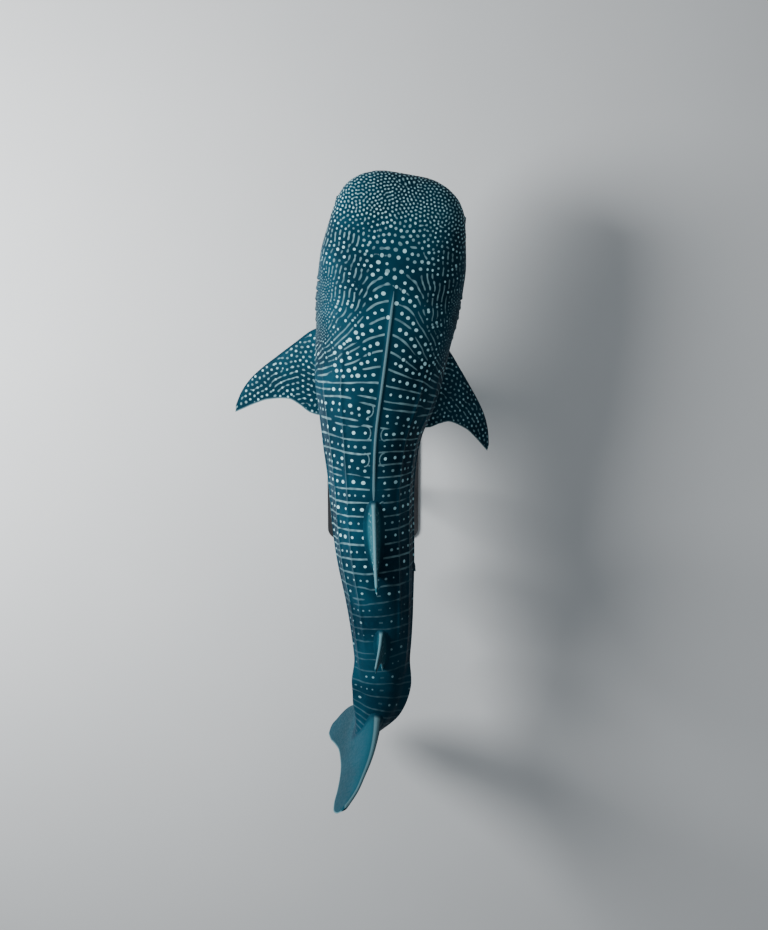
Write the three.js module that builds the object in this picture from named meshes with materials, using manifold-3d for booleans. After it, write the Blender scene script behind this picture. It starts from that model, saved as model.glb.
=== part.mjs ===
// Whale shark, life-size display model on a flat base with two short rods.
// Millimetres, +Z up. The head points to -Y, the shark's left side to +X.
// The origin is the middle of the underside of the base.

import * as THREE from 'three';
import { mergeVertices } from 'three/addons/utils/BufferGeometryUtils.js';
import Module from 'manifold-3d';

const wasm = await Module();
wasm.setup();

// Driving dimensions
const LENGTH = 6500;
const AXIS_HEIGHT = 1380;
const GAP = 0.3;
const BASE_LENGTH = 2600;
const BASE_WIDTH = 1000;
const BASE_THICKNESS = 30;
const BASE_CORNER = 120;
const BASE_BEVEL = 6;
const ROD_RADIUS = 45;
const FOOT = { radius: 95, height: 20, bevel: 6 };
const EYE_RADIUS = 26;

// Stations along the body and all shark sizes below are per cent of LENGTH
const PERCENT = LENGTH / 100;
const HALF_GAP = GAP / 2 / PERCENT;
const STAND_STATION = 38;
const ROD_STATIONS = { front: 29, rear: 48 };

// The body is parted into lengths, each a number of steps between two stations
const HEAD = { from: 0, to: 23.2, steps: 20, bias: 1.75 };
const TRUNK_FRONT = { from: 23.2, to: 43, steps: 9, bias: 1 };
const TRUNK_REAR = { from: 43, to: 63, steps: 8, bias: 1 };
const TAIL_FRONT = { from: 63, to: 76.5, steps: 7, bias: 1 };
const TAIL_STALK = { from: 76.5, to: 86.5, steps: 9, bias: 1 };
const BODY_LENGTHS = [HEAD, TRUNK_FRONT, TRUNK_REAR, TAIL_FRONT, TAIL_STALK];

// Half width of the body, its top and its belly, measured from the body's axis
const halfWidth = through([
  [0, 2.6], [0.35, 4.6], [1.2, 6.5], [2.6, 8.1], [4.5, 9.1], [8, 9.85], [13, 10.5], [18, 10.4],
  [23, 9.8], [30, 9.1], [38, 7.0], [45, 6.1], [54, 5.7], [63, 4.8], [72, 3.95], [79, 3.15],
  [83, 2.1], [86.5, 0.6],
]);
const topHeight = through([
  [0, 0.5], [0.4, 1.1], [1.2, 1.8], [3, 2.8], [6, 3.9], [10, 4.9], [15, 5.9], [22, 6.9],
  [30, 7.4], [38, 7.5], [45, 7.3], [54, 6.4], [63, 4.9], [72, 3.4], [79, 2.5], [83, 2.2], [86.5, 1.6],
]);
const bellyDepth = through([
  [0, 0.9], [0.4, 1.7], [1.2, 2.4], [3, 3.3], [6, 4.2], [10, 5.1], [15, 6.0], [22, 6.7],
  [30, 7.0], [38, 6.9], [45, 6.5], [54, 5.6], [63, 4.4], [72, 3.1], [79, 2.4], [83, 1.9], [86.5, 1.0],
]);
// Squareness of the section: 2 is an ellipse, more is squarer
const squareness = through([[0, 2.9], [6, 2.6], [15, 2.35], [30, 2.15], [60, 2.05], [86.5, 2]]);

// Ridges along the body: angle round the section from the left side, height, and the stretch they cover
const RIDGES = [
  { angle: 90, height: 0.22, from: 14, to: 47, fade: 6 },
  { angle: 54, height: 0.2, from: 17, to: 72, fade: 8 },
  { angle: 31, height: 0.2, from: 20, to: 76, fade: 8 },
  { angle: 6, height: 0.25, from: 30, to: 84, fade: 9 },
  { angle: 6, height: 0.75, from: 71, to: 85, fade: 5 },
];
const RIDGE_STEPS = [[6, 31, 2], [31, 54, 2], [54, 90, 3]];
const BELLY_STEPS = 15;

// The pose in degrees: heading of the spine to the left, its rise, and lean of the back to the right
const heading = through([
  [0, 9], [22, 7.5], [33, 7.8], [40, 0], [46, -1.8], [58, -5.3], [68, -1.7], [75, 3],
  [80, 22], [85, 35], [90, 43], [100, 44],
]);
const rise = through([[0, 0], [78, 0], [90, 12], [100, 12]]);
const lean = through([[0, 5.5], [36, 5], [47, 2.5], [58, 0.5], [76, 1], [82, 12], [88, 6], [100, 2]]);

// Details of the head
const MOUTH = { height: -0.25, corner: 3.9, opening: 0.42, hinge: 7.2, hingeUp: -6 };
const EYE_PLACE = { station: 4.9, up: 0.45, inset: 0.27 };
const SPIRACLE = { station: 7.1, up: 0.7, radius: 13, depth: 0.7, inset: 0.2 };
const GILLS = {
  count: 5, first: 16.2, spacing: 1.45, wide: 0.16, tall: 5.6, taper: 0.09, middle: -0.6, depth: 0.5,
};
// A block that reaches past the front, the sides and the underside of the head
const HEAD_BLOCK = { front: -2, side: 13, under: -9 };

// Paired fins: lead and trail are stations at a distance along the span from the flank
const PECTORAL = {
  left: 8.3, up: -3.3, root: -3.5, tip: 13.3, steps: 16, pivot: 27, incidence: 4, curl: 1.2,
  droopLeft: 17, sweepLeft: 0, droopRight: 21, sweepRight: 1.4,
  lead: [
    [-3.5, 21.3], [1.7, 23.2], [4.7, 25.8], [7.1, 28], [9.7, 30.4], [11.3, 32.2], [12.6, 34.4], [13.3, 36.6],
  ],
  trail: [
    [-3.5, 31.5], [-0.5, 35.8], [0.8, 35.6], [2.6, 34.7], [4.4, 34.1], [7.7, 34.7], [9.9, 35.7],
    [12.2, 37.0], [13.3, 37.6],
  ],
  thickness: [[-3.5, 1.9], [1, 1.5], [7, 0.9], [13.3, 0.3]],
};
const PELVIC = {
  left: 3.0, up: -4.3, root: -1.5, tip: 3.9, steps: 7, pivot: 57, incidence: 3, curl: 2, droop: 38,
  lead: [[-1.5, 54.6], [0, 55.3], [2, 56.6], [3.2, 58], [3.9, 59.4]],
  trail: [[-1.5, 58.6], [0, 61.3], [0.7, 61.4], [1.8, 60.2], [3.2, 60.4], [3.9, 60.5]],
  thickness: [[-1.5, 0.9], [0, 0.7], [3.9, 0.15]],
};

// Fins in the middle plane: lead and trail are stations at a height above or below the axis
const FIRST_DORSAL = {
  root: 5, tip: 15.6, steps: 11, bend: 0, bendFrom: 0,
  lead: [[5, 44.4], [7.4, 46.2], [10, 48.8], [13, 52.0], [14.8, 54.4], [15.6, 56.0]],
  trail: [
    [5, 55.1], [6.6, 57.6], [7.3, 58.0], [8.2, 56.4], [9.8, 55.3], [12, 55.4], [14.6, 56.6], [15.6, 57.1],
  ],
  thickness: [[5, 1.7], [8, 1.1], [15.6, 0.3]],
};
const SECOND_DORSAL = {
  root: 2.6, tip: 8.0, steps: 8, bend: 0.05, bendFrom: 3.4,
  lead: [[2.6, 65.0], [4.4, 66.0], [6, 67.6], [7.4, 69.3], [8.0, 70.3]],
  trail: [[2.6, 69.8], [3.5, 71.8], [4.0, 72.2], [4.8, 71.0], [6, 70.4], [7.4, 70.8], [8.0, 71.1]],
  thickness: [[2.6, 0.9], [5, 0.6], [8.0, 0.2]],
};
const ANAL = {
  root: -2.2, tip: -7.4, steps: 8, bend: 0, bendFrom: 0,
  lead: [[-7.4, 74.2], [-6.6, 72.6], [-5.4, 70.9], [-4, 69.2], [-2.2, 67.9]],
  trail: [[-7.4, 74.9], [-6.4, 74.2], [-5, 73.8], [-4.2, 74.4], [-3.4, 75.6], [-3, 75.2], [-2.2, 73]],
  thickness: [[-7.4, 0.2], [-4.5, 0.6], [-2.2, 0.9]],
};
const LOBE_SPLIT = -0.45;
const LOBE_REACH = { from: 75, to: 97, steps: 22, half: 3, up: 19, down: -17 };
const UPPER_LOBE = {
  root: -1.1, tip: 13.9, steps: 16, bend: 0, bendFrom: 0,
  lead: [[-1.1, 77.2], [2, 79.6], [5.2, 82.3], [10.1, 86.5], [12.3, 88.8], [13.3, 90.4], [13.9, 91.8]],
  trail: [
    [-1.1, 89.4], [1.6, 90], [4.5, 90.9], [7.2, 92], [10, 93.3], [11.9, 93.7], [13.1, 93.4], [13.9, 92.6],
  ],
  thickness: [[-1.1, 2.6], [3, 2.0], [7, 1.3], [13.9, 0.5]],
};
const LOWER_LOBE = {
  root: 0.2, tip: -13.3, steps: 13, bend: 0, bendFrom: 0,
  lead: [[-13.3, 87.9], [-12.4, 86.2], [-10.3, 84.4], [-7.6, 82.9], [-4, 81.2], [0.2, 78]],
  trail: [[-13.3, 88.9], [-12.0, 89.6], [-9.7, 89.7], [-7, 89.4], [-3.9, 89.2], [0.2, 89.8]],
  thickness: [[-13.3, 0.35], [-7, 1.0], [-3, 1.8], [0.2, 2.6]],
};

// Colours of the finished model
const SKIN = { color: 0x1d3f4c, roughness: 0.55, metalness: 0 };
const EYE = { color: 0x0a0c0e, roughness: 0.15, metalness: 0 };
const STAND = { color: 0x2b2d30, roughness: 0.5, metalness: 0.3 };

// A smooth curve through [position, value] stations that never overshoots them
function through(stations) {
  const last = stations.length - 1;
  const slopes = [];
  for (let i = 0; i < last; i++) {
    slopes.push((stations[i + 1][1] - stations[i][1]) / (stations[i + 1][0] - stations[i][0]));
  }
  const tangents = stations.map((_, i) => {
    const before = slopes[Math.max(i - 1, 0)];
    const after = slopes[Math.min(i, last - 1)];
    return before * after <= 0 ? 0 : (2 * before * after) / (before + after);
  });
  return (position) => {
    const x = Math.min(Math.max(position, stations[0][0]), stations[last][0]);
    let i = 0;
    while (i < last - 1 && x > stations[i + 1][0]) i++;
    const width = stations[i + 1][0] - stations[i][0];
    const t = (x - stations[i][0]) / width;
    const u = 1 - t;
    return (
      u * u * (1 + 2 * t) * stations[i][1] + t * t * (3 - 2 * t) * stations[i + 1][1] +
      width * t * u * (u * tangents[i] - t * tangents[i + 1])
    );
  };
}

const radians = THREE.MathUtils.degToRad;

// Points of the bent spine, one for every quarter per cent, measured from the middle of the stand
const SPINE_STEP = 0.25;
const SPINE_END = 110;
const spine = spinePoints();

// Directions of the body at a station: backwards along the spine, to the left, and to the back
function directions(s) {
  const turn = radians(heading(s));
  const slope = radians(rise(s));
  const roll = radians(lean(s));
  const flat = Math.cos(slope);
  const along = new THREE.Vector3(Math.sin(turn) * flat, Math.cos(turn) * flat, Math.sin(slope));
  const level = new THREE.Vector3(Math.cos(turn), -Math.sin(turn), 0);
  const above = level.clone().cross(along);
  const left = level.clone().multiplyScalar(Math.cos(roll)).addScaledVector(above, Math.sin(roll));
  const up = above.clone().multiplyScalar(Math.cos(roll)).addScaledVector(level, -Math.sin(roll));
  return { along, left, up };
}

function spinePoints() {
  const points = [new THREE.Vector3(0, 0, 0)];
  for (let s = 0; s < SPINE_END; s += SPINE_STEP) {
    const { along } = directions(s + SPINE_STEP / 2);
    points.push(points.at(-1).clone().addScaledVector(along, SPINE_STEP * PERCENT));
  }
  const offset = points[STAND_STATION / SPINE_STEP].clone();
  offset.z -= AXIS_HEIGHT;
  return points.map((point) => point.sub(offset));
}

function spineAt(s) {
  const place = Math.max(s, 0) / SPINE_STEP;
  const index = Math.min(Math.floor(place), spine.length - 2);
  const ahead = directions(0).along.multiplyScalar(Math.min(s, 0) * PERCENT);
  return spine[index].clone().lerp(spine[index + 1], place - index).add(ahead);
}

// From the straight shark (station, left, up, all per cent) to its place in the posed model
function posed(s, left, up) {
  const way = directions(s);
  return spineAt(s).addScaledVector(way.left, left * PERCENT).addScaledVector(way.up, up * PERCENT);
}

// The same for what doesn't bend with the body, but follows its direction at one station
function posedStiffly(pivot) {
  const way = directions(pivot);
  const centre = spineAt(pivot);
  return (s, left, up) => centre.clone().addScaledVector(way.along, (s - pivot) * PERCENT)
    .addScaledVector(way.left, left * PERCENT).addScaledVector(way.up, up * PERCENT);
}

function smoothStep(t) {
  const x = Math.min(Math.max(t, 0), 1);
  return x * x * (3 - 2 * x);
}

function ridgeLift(ridge, s) {
  return ridge.height * smoothStep((s - ridge.from) / ridge.fade) * smoothStep((ridge.to - s) / ridge.fade);
}

// Angles round the section, with one on every ridge
function ringAngles() {
  const side = [];
  for (const [from, to, steps] of RIDGE_STEPS) {
    for (let i = 0; i < steps; i++) side.push(from + ((to - from) * i) / steps);
  }
  const upper = [...side, 90, ...side.map((angle) => 180 - angle).reverse()];
  const belly = [];
  for (let i = 1; i < BELLY_STEPS; i++) {
    belly.push(180 - side[0] + ((180 + 2 * side[0]) * i) / BELLY_STEPS);
  }
  return [...upper, ...belly];
}

const RING_ANGLES = ringAngles();

// One cross-section of the body as [left, up] pairs, grown outwards by a clearance in millimetres
function bodySection(s, clearance) {
  const grow = clearance / PERCENT;
  const power = 2 / squareness(s);
  return RING_ANGLES.map((angle) => {
    const c = Math.cos(radians(angle));
    const d = Math.sin(radians(angle));
    const lift = RIDGES.filter((ridge) => Math.abs(ridge.angle - (angle > 90 ? 180 - angle : angle)) < 0.1)
      .reduce((sum, ridge) => sum + ridgeLift(ridge, s), 0);
    const left = (halfWidth(s) + grow) * Math.sign(c) * Math.abs(c) ** power;
    const up = ((d > 0 ? topHeight(s) : bellyDepth(s)) + grow) * Math.sign(d) * Math.abs(d) ** power;
    return [left + lift * c, up + lift * d];
  });
}

// A closed surface through rings of equally many points, with fanned ends
function loft(rings) {
  const around = rings[0].length;
  const count = rings.length * around;
  const middle = (ring) => ring.reduce((sum, p) => sum.add(p), new THREE.Vector3()).divideScalar(around);
  const points = [...rings.flat(), middle(rings[0]), middle(rings.at(-1))];
  const faces = [];
  for (let j = 0; j < around; j++) {
    const next = (j + 1) % around;
    for (let start = 0; start < count - around; start += around) {
      faces.push([start + j, start + next + around, start + next]);
      faces.push([start + j, start + j + around, start + next + around]);
    }
    faces.push([count, j, next]);
    faces.push([count + 1, count - around + next, count - around + j]);
  }
  return solid(points, faces);
}

// Turns points and triangles into a solid, with its faces outwards
function solid(points, faces) {
  const volume = faces.reduce((sum, [a, b, c]) => {
    return sum + points[a].dot(new THREE.Vector3().crossVectors(points[b], points[c]));
  }, 0);
  const outward = volume > 0 ? faces : faces.map(([a, b, c]) => [a, c, b]);
  return new wasm.Manifold(new wasm.Mesh({
    numProp: 3,
    vertProperties: new Float32Array(points.flatMap((point) => point.toArray())),
    triVerts: new Uint32Array(outward.flat()),
  }));
}

// Turns one of three's closed geometries into a solid
function solidFrom(geometry) {
  geometry.deleteAttribute('normal');
  geometry.deleteAttribute('uv');
  const merged = mergeVertices(geometry, 1e-3);
  const position = merged.getAttribute('position');
  const pointAt = (_, i) => new THREE.Vector3().fromBufferAttribute(position, i);
  const points = Array.from({ length: position.count }, pointAt);
  const index = merged.getIndex().array;
  const faces = [];
  for (let i = 0; i < index.length; i += 3) {
    const [a, b, c] = [index[i], index[i + 1], index[i + 2]];
    if (a !== b && b !== c && c !== a) faces.push([a, b, c]);
  }
  return solid(points, faces);
}

function named(name, body, look) {
  const { vertProperties, triVerts } = body.getMesh();
  const geometry = new THREE.BufferGeometry();
  geometry.setAttribute('position', new THREE.BufferAttribute(new Float32Array(vertProperties), 3));
  geometry.setIndex(new THREE.BufferAttribute(new Uint32Array(triVerts), 1));
  geometry.computeVertexNormals();
  const mesh = new THREE.Mesh(geometry, new THREE.MeshStandardMaterial(look));
  mesh.name = name;
  return mesh;
}

function spaced(from, to, count, bias = 1) {
  return Array.from({ length: count + 1 }, (_, i) => from + (to - from) * (i / count) ** bias);
}

function bodyLength(stations, clearance = 0) {
  return loft(stations.map((s) => bodySection(s, clearance).map(([left, up]) => posed(s, left, up))));
}

// The stations of one length, with half a gap left open where it meets the next
function stationsOf(length) {
  const start = length === BODY_LENGTHS[0] ? length.from : length.from + HALF_GAP;
  const end = length === BODY_LENGTHS.at(-1) ? length.to : length.to - HALF_GAP;
  return spaced(start, end, length.steps, length.bias);
}

// The whole body, a gap larger all round, to cut what is fixed to it
const clearBody = bodyLength([...BODY_LENGTHS.flatMap(stationsOf), TAIL_STALK.to + GAP / PERCENT], GAP);

// A slab of the head: an outline in station and height, carried across from one side to the other
function headSlab(outline) {
  const side = (left) => outline.map(([s, up]) => posed(s, left, up));
  return loft([side(HEAD_BLOCK.side), side(-HEAD_BLOCK.side)]);
}

// The lower jaw lies under the slit of the mouth, which opens from its corners forwards
function jawRegion(clearance) {
  const c = clearance / PERCENT;
  const { front, under } = HEAD_BLOCK;
  const slope = MOUTH.opening / MOUTH.corner;
  const frontUp = MOUTH.height - slope * (MOUTH.corner - front);
  return headSlab([
    [front, frontUp + c], [MOUTH.corner, MOUTH.height + c], [MOUTH.hinge + c, MOUTH.hingeUp],
    [MOUTH.hinge + c, under], [front, under],
  ]);
}

function mouthSlit() {
  const { front } = HEAD_BLOCK;
  const drop = (MOUTH.opening / MOUTH.corner) * (MOUTH.corner - front);
  return headSlab([[front, MOUTH.height], [MOUTH.corner, MOUTH.height], [front, MOUTH.height - drop]]);
}

// Thin upright slots in the flank behind the head, five on each side
function gillSlits(side) {
  const slots = [];
  for (let i = 0; i < GILLS.count; i++) {
    const s = GILLS.first + i * GILLS.spacing;
    const tall = GILLS.tall * (1 - GILLS.taper * i);
    const outer = side * (halfWidth(s) + 1);
    const inner = side * (halfWidth(s) - GILLS.depth);
    const low = GILLS.middle - tall / 2;
    const high = GILLS.middle + tall / 2;
    const at = (up) => [posed(s - GILLS.wide / 2, outer, up), posed(s + GILLS.wide / 2, outer, up),
      posed(s + GILLS.wide / 2, inner, up), posed(s - GILLS.wide / 2, inner, up)];
    slots.push(loft([at(low), at(high)]));
  }
  return slots;
}

function eyeCentre(side) {
  return posed(EYE_PLACE.station, side * (halfWidth(EYE_PLACE.station) - EYE_PLACE.inset), EYE_PLACE.up);
}

function eyeBall(side, clearance) {
  const centre = eyeCentre(side);
  const ball = new THREE.SphereGeometry(EYE_RADIUS + clearance, 14, 8);
  return solidFrom(ball.translate(centre.x, centre.y, centre.z));
}

// The spiracle is a small round pit behind the eye
function spiracle(side) {
  const depth = SPIRACLE.depth * PERCENT;
  const centre = posed(SPIRACLE.station, side * (halfWidth(SPIRACLE.station) - SPIRACLE.inset), SPIRACLE.up);
  const pit = new THREE.CylinderGeometry(SPIRACLE.radius, SPIRACLE.radius, depth, 12);
  pit.rotateZ(Math.PI / 2);
  return solidFrom(pit.translate(centre.x, centre.y, centre.z));
}

function headPieces() {
  const whole = bodyLength(stationsOf(HEAD));
  let head = whole.subtract(jawRegion(GAP)).subtract(mouthSlit());
  for (const side of [1, -1]) {
    for (const cut of [...gillSlits(side), eyeBall(side, GAP), spiracle(side)]) head = head.subtract(cut);
  }
  return [
    named('head', head, SKIN),
    named('lower_jaw', whole.intersect(jawRegion(0)), SKIN),
    named('eye_left', eyeBall(1, 0), EYE),
    named('eye_right', eyeBall(-1, 0), EYE),
  ];
}

function bodyPieces() {
  return [
    named('trunk_front', bodyLength(stationsOf(TRUNK_FRONT)), SKIN),
    named('trunk_rear', bodyLength(stationsOf(TRUNK_REAR)), SKIN),
    named('tail_front', bodyLength(stationsOf(TAIL_FRONT)), SKIN),
    named('tail_stalk', bodyLength(stationsOf(TAIL_STALK)), SKIN),
  ];
}

// A fin is a stack of rounded sections from root to tip. Its outline is given by the station of its
// leading and trailing edge at each distance along the span.
const CHORD_STEPS = [0, 0.03, 0.12, 0.3, 0.55, 0.8, 1];
const EDGE = 0.05;

function finSection(front, back, thick) {
  const half = (t) => (thick / 2) * 4 * (Math.sqrt(t) - t) + EDGE;
  const leftSide = CHORD_STEPS.map((t) => [front + (back - front) * t, half(t)]);
  const rightSide = leftSide.map(([s, n]) => [s, -n]).reverse();
  return [...leftSide, ...rightSide];
}

function fin(spans, lead, trail, thickness, place) {
  const rings = spans.map((h) => {
    return finSection(lead(h), trail(h), thickness(h)).map(([s, n]) => place(s, h, n));
  });
  return loft(rings).subtract(clearBody);
}

// Fins in the middle plane stand up or hang down, and may bend to the left along their span
function uprightFin(shape) {
  const bend = (h) => shape.bend * Math.max(0, (Math.abs(h) - shape.bendFrom)) ** 2;
  const place = (s, h, n) => posed(s, n + bend(h), h);
  const spans = spaced(shape.root, shape.tip, shape.steps);
  return fin(spans, through(shape.lead), through(shape.trail), through(shape.thickness), place);
}

// Paired fins leave the flank and droop more and more towards the tip
function pairedFin(shape, side, droop, sweep) {
  const start = radians(droop);
  const curl = radians(shape.curl);
  const stiff = posedStiffly(shape.pivot);
  const place = (s, h, n) => {
    const angle = start + curl * Math.max(h, 0);
    const out = h < 0 ? h * Math.cos(start) : (Math.sin(angle) - Math.sin(start)) / curl;
    const down = h < 0 ? h * Math.sin(start) : (Math.cos(start) - Math.cos(angle)) / curl;
    const tilt = (shape.pivot - s) * Math.tan(radians(shape.incidence));
    const left = side * (shape.left + out + n * Math.sin(angle));
    const up = shape.up - down + n * Math.cos(angle) + tilt;
    return stiff(s + (sweep * Math.max(h, 0)) / shape.tip, left, up);
  };
  const spans = spaced(shape.root, shape.tip, shape.steps);
  return fin(spans, through(shape.lead), through(shape.trail), through(shape.thickness), place);
}

// Everything on one side of the cut between the two lobes of the tail fin
function lobeRegion(split, far) {
  const { from, to, steps, half } = LOBE_REACH;
  const corners = [[-half, split], [half, split], [half, far], [-half, far]];
  const ring = (s) => corners.map(([left, up]) => posed(s, left, up));
  return loft(spaced(from, to, steps).map(ring));
}

function finPieces() {
  const upperLobe = uprightFin(UPPER_LOBE).intersect(lobeRegion(LOBE_SPLIT + HALF_GAP, LOBE_REACH.up));
  const lowerLobe = uprightFin(LOWER_LOBE).intersect(lobeRegion(LOBE_SPLIT - HALF_GAP, LOBE_REACH.down));
  return [
    named('pectoral_fin_left', pairedFin(PECTORAL, 1, PECTORAL.droopLeft, PECTORAL.sweepLeft), SKIN),
    named('pectoral_fin_right', pairedFin(PECTORAL, -1, PECTORAL.droopRight, PECTORAL.sweepRight), SKIN),
    named('pelvic_fin_left', pairedFin(PELVIC, 1, PELVIC.droop, 0), SKIN),
    named('pelvic_fin_right', pairedFin(PELVIC, -1, PELVIC.droop, 0), SKIN),
    named('dorsal_fin_first', uprightFin(FIRST_DORSAL), SKIN),
    named('dorsal_fin_second', uprightFin(SECOND_DORSAL), SKIN),
    named('anal_fin', uprightFin(ANAL), SKIN),
    named('caudal_fin_upper_lobe', upperLobe, SKIN),
    named('caudal_fin_lower_lobe', lowerLobe, SKIN),
  ];
}

// A flat base with rounded corners, its underside on the floor
function base() {
  const x = BASE_WIDTH / 2 - BASE_BEVEL;
  const y = BASE_LENGTH / 2 - BASE_BEVEL;
  const r = BASE_CORNER - BASE_BEVEL;
  const outline = new THREE.Shape();
  outline.absarc(x - r, y - r, r, 0, Math.PI / 2);
  outline.absarc(r - x, y - r, r, Math.PI / 2, Math.PI);
  outline.absarc(r - x, r - y, r, Math.PI, 1.5 * Math.PI);
  outline.absarc(x - r, r - y, r, 1.5 * Math.PI, 2 * Math.PI);
  outline.closePath();
  const slab = new THREE.ExtrudeGeometry(outline, {
    depth: BASE_THICKNESS - 2 * BASE_BEVEL,
    bevelThickness: BASE_BEVEL,
    bevelSize: BASE_BEVEL,
    bevelSegments: 1,
    curveSegments: 6,
  });
  return solidFrom(slab.translate(0, 0, BASE_BEVEL));
}

// A rod with a round foot, from the base up to the belly
function rod(station) {
  const profile = [
    [0, 0], [FOOT.radius, 0], [FOOT.radius, FOOT.height - FOOT.bevel],
    [FOOT.radius - FOOT.bevel, FOOT.height], [ROD_RADIUS, FOOT.height], [ROD_RADIUS, AXIS_HEIGHT], [0, AXIS_HEIGHT],
  ];
  const turned = new THREE.LatheGeometry(profile.map(([r, z]) => new THREE.Vector2(r, z)), 32);
  const place = spineAt(station);
  turned.rotateX(Math.PI / 2);
  return solidFrom(turned.translate(place.x, place.y, BASE_THICKNESS + GAP)).subtract(clearBody);
}

function standPieces() {
  return [
    named('stand_base', base(), STAND),
    named('stand_rod_front', rod(ROD_STATIONS.front), STAND),
    named('stand_rod_rear', rod(ROD_STATIONS.rear), STAND),
  ];
}

const group = new THREE.Group();
group.add(...headPieces(), ...bodyPieces(), ...finPieces(), ...standPieces());

export default group;
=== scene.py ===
"""Looks of a life-size whale shark on a display stand: skin, markings, eyes, stand, light and camera."""

import math

import bpy
import numpy as np
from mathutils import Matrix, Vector

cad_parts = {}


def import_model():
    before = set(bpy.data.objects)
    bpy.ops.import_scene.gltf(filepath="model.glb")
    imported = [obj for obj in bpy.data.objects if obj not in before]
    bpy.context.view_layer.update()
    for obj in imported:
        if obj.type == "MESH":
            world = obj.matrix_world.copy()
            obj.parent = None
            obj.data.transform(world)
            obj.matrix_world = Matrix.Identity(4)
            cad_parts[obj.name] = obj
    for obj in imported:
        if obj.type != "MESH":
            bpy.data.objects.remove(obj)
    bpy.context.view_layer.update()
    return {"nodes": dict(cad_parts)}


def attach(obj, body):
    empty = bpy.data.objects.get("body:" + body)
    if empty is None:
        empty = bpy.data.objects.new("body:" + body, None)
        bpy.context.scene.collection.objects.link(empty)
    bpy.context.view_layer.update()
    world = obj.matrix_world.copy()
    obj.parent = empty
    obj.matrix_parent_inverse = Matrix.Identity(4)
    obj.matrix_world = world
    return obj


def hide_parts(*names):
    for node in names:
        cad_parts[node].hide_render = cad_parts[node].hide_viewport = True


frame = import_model()
rng = np.random.RandomState(26)

# Driving sizes, as in the solids. Stations and shark sizes are per cent of the length.
LENGTH = 6.5
PERCENT = LENGTH / 100
MILLIMETRES = PERCENT * 1000
AXIS_HEIGHT = 1.38
STAND_STATION = 38
EYE_RADIUS = 0.026


def through(stations):
    """A smooth curve through (position, value) stations that never overshoots them."""
    x = np.array([station[0] for station in stations], float)
    y = np.array([station[1] for station in stations], float)
    slopes = np.diff(y) / np.diff(x)
    before = np.concatenate([slopes[:1], slopes])
    after = np.concatenate([slopes, slopes[-1:]])
    total = np.where(before + after == 0, 1, before + after)
    tangents = np.where(before * after <= 0, 0, 2 * before * after / total)

    def curve(position):
        p = np.clip(np.asarray(position, float), x[0], x[-1])
        i = np.clip(np.searchsorted(x, p, side="left") - 1, 0, len(x) - 2)
        width = x[i + 1] - x[i]
        t = (p - x[i]) / width
        u = 1 - t
        ends = u * u * (1 + 2 * t) * y[i] + t * t * (3 - 2 * t) * y[i + 1]
        return ends + width * t * u * (u * tangents[i] - t * tangents[i + 1])

    return curve


# Half width of the body, its top and its belly, measured from the body's axis
half_width = through([
    (0, 2.6), (0.35, 4.6), (1.2, 6.5), (2.6, 8.1), (4.5, 9.1), (8, 9.85), (13, 10.5), (18, 10.4),
    (23, 9.8), (30, 9.1), (38, 7.0), (45, 6.1), (54, 5.7), (63, 4.8), (72, 3.95), (79, 3.15), (83, 1.9),
    (86.5, 0.25),
])
top_height = through([
    (0, 0.5), (0.4, 1.1), (1.2, 1.8), (3, 2.8), (6, 3.9), (10, 4.9), (15, 5.9), (22, 6.9),
    (30, 7.4), (38, 7.5), (45, 7.3), (54, 6.4), (63, 4.9), (72, 3.4), (79, 2.5), (83, 2.2), (86.5, 1.6),
])
belly_depth = through([
    (0, 0.9), (0.4, 1.7), (1.2, 2.4), (3, 3.3), (6, 4.2), (10, 5.1), (15, 6.0), (22, 6.7),
    (30, 7.0), (38, 6.9), (45, 6.5), (54, 5.6), (63, 4.4), (72, 3.1), (79, 2.4), (83, 1.9), (86.5, 1.0),
])
squareness = through([(0, 2.9), (6, 2.6), (15, 2.35), (30, 2.15), (60, 2.05), (86.5, 2)])
BODY_END = 86.5

# Ridges: angle up from the flank, height, and the stretch they cover
RIDGES = [
    {"angle": 90, "height": 0.17, "start": 14, "end": 47, "fade": 6},
    {"angle": 54, "height": 0.15, "start": 22, "end": 72, "fade": 9},
    {"angle": 31, "height": 0.17, "start": 24, "end": 76, "fade": 9},
    {"angle": 6, "height": 0.25, "start": 30, "end": 84, "fade": 9},
    {"angle": 6, "height": 0.75, "start": 71, "end": 84.5, "fade": 5},
]
RIDGE_WIDTH = 0.32

# The pose in degrees: heading of the spine to the left, its rise, and lean of the back to the right
heading = through([
    (0, 9), (22, 7.5), (33, 7.8), (40, 0), (46, -1.8), (58, -5.3), (68, -1.7), (75, 3), (80, 22),
    (85, 35), (90, 43), (100, 44),
])
rise = through([(0, 0), (78, 0), (90, 12), (100, 12)])
lean = through([(0, 5.5), (36, 5), (47, 2.5), (58, 0.5), (76, 1), (82, 12), (88, 6), (100, 2)])

# Details of the head
MOUTH = {"height": -0.25, "corner": 3.9, "opening": 0.42, "droop": 0.0045, "depth": 1.3, "lip": 0.07}
EYE_PLACE = {"station": 4.9, "up": 0.45, "inset": 0.27}
EYE_HOLLOW = {"depth": 0.12, "radius": 0.30, "fold": 0.09, "fold_radius": 0.42, "fold_width": 0.16}
LID = {"ring": 0.335, "thick": 0.085, "out": 0.01}
SPIRACLE = {"station": 7.1, "up": 0.7, "radius": 0.17, "depth": 0.35, "rim": 0.04, "rim_width": 0.08}
NOSTRIL = {"left": 5.2, "above_mouth": 0.52, "half_width": 0.42, "half_height": 0.13, "depth": 0.22}
NOSTRIL_END = 2.5
GILLS = {
    "count": 5, "first": 16.2, "spacing": 1.45, "wide": 0.16, "tall": 5.6, "middle": -0.6, "depth": 0.4,
    "taper": 0.09, "curve": 0.25, "flap": 0.10,
}

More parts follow.
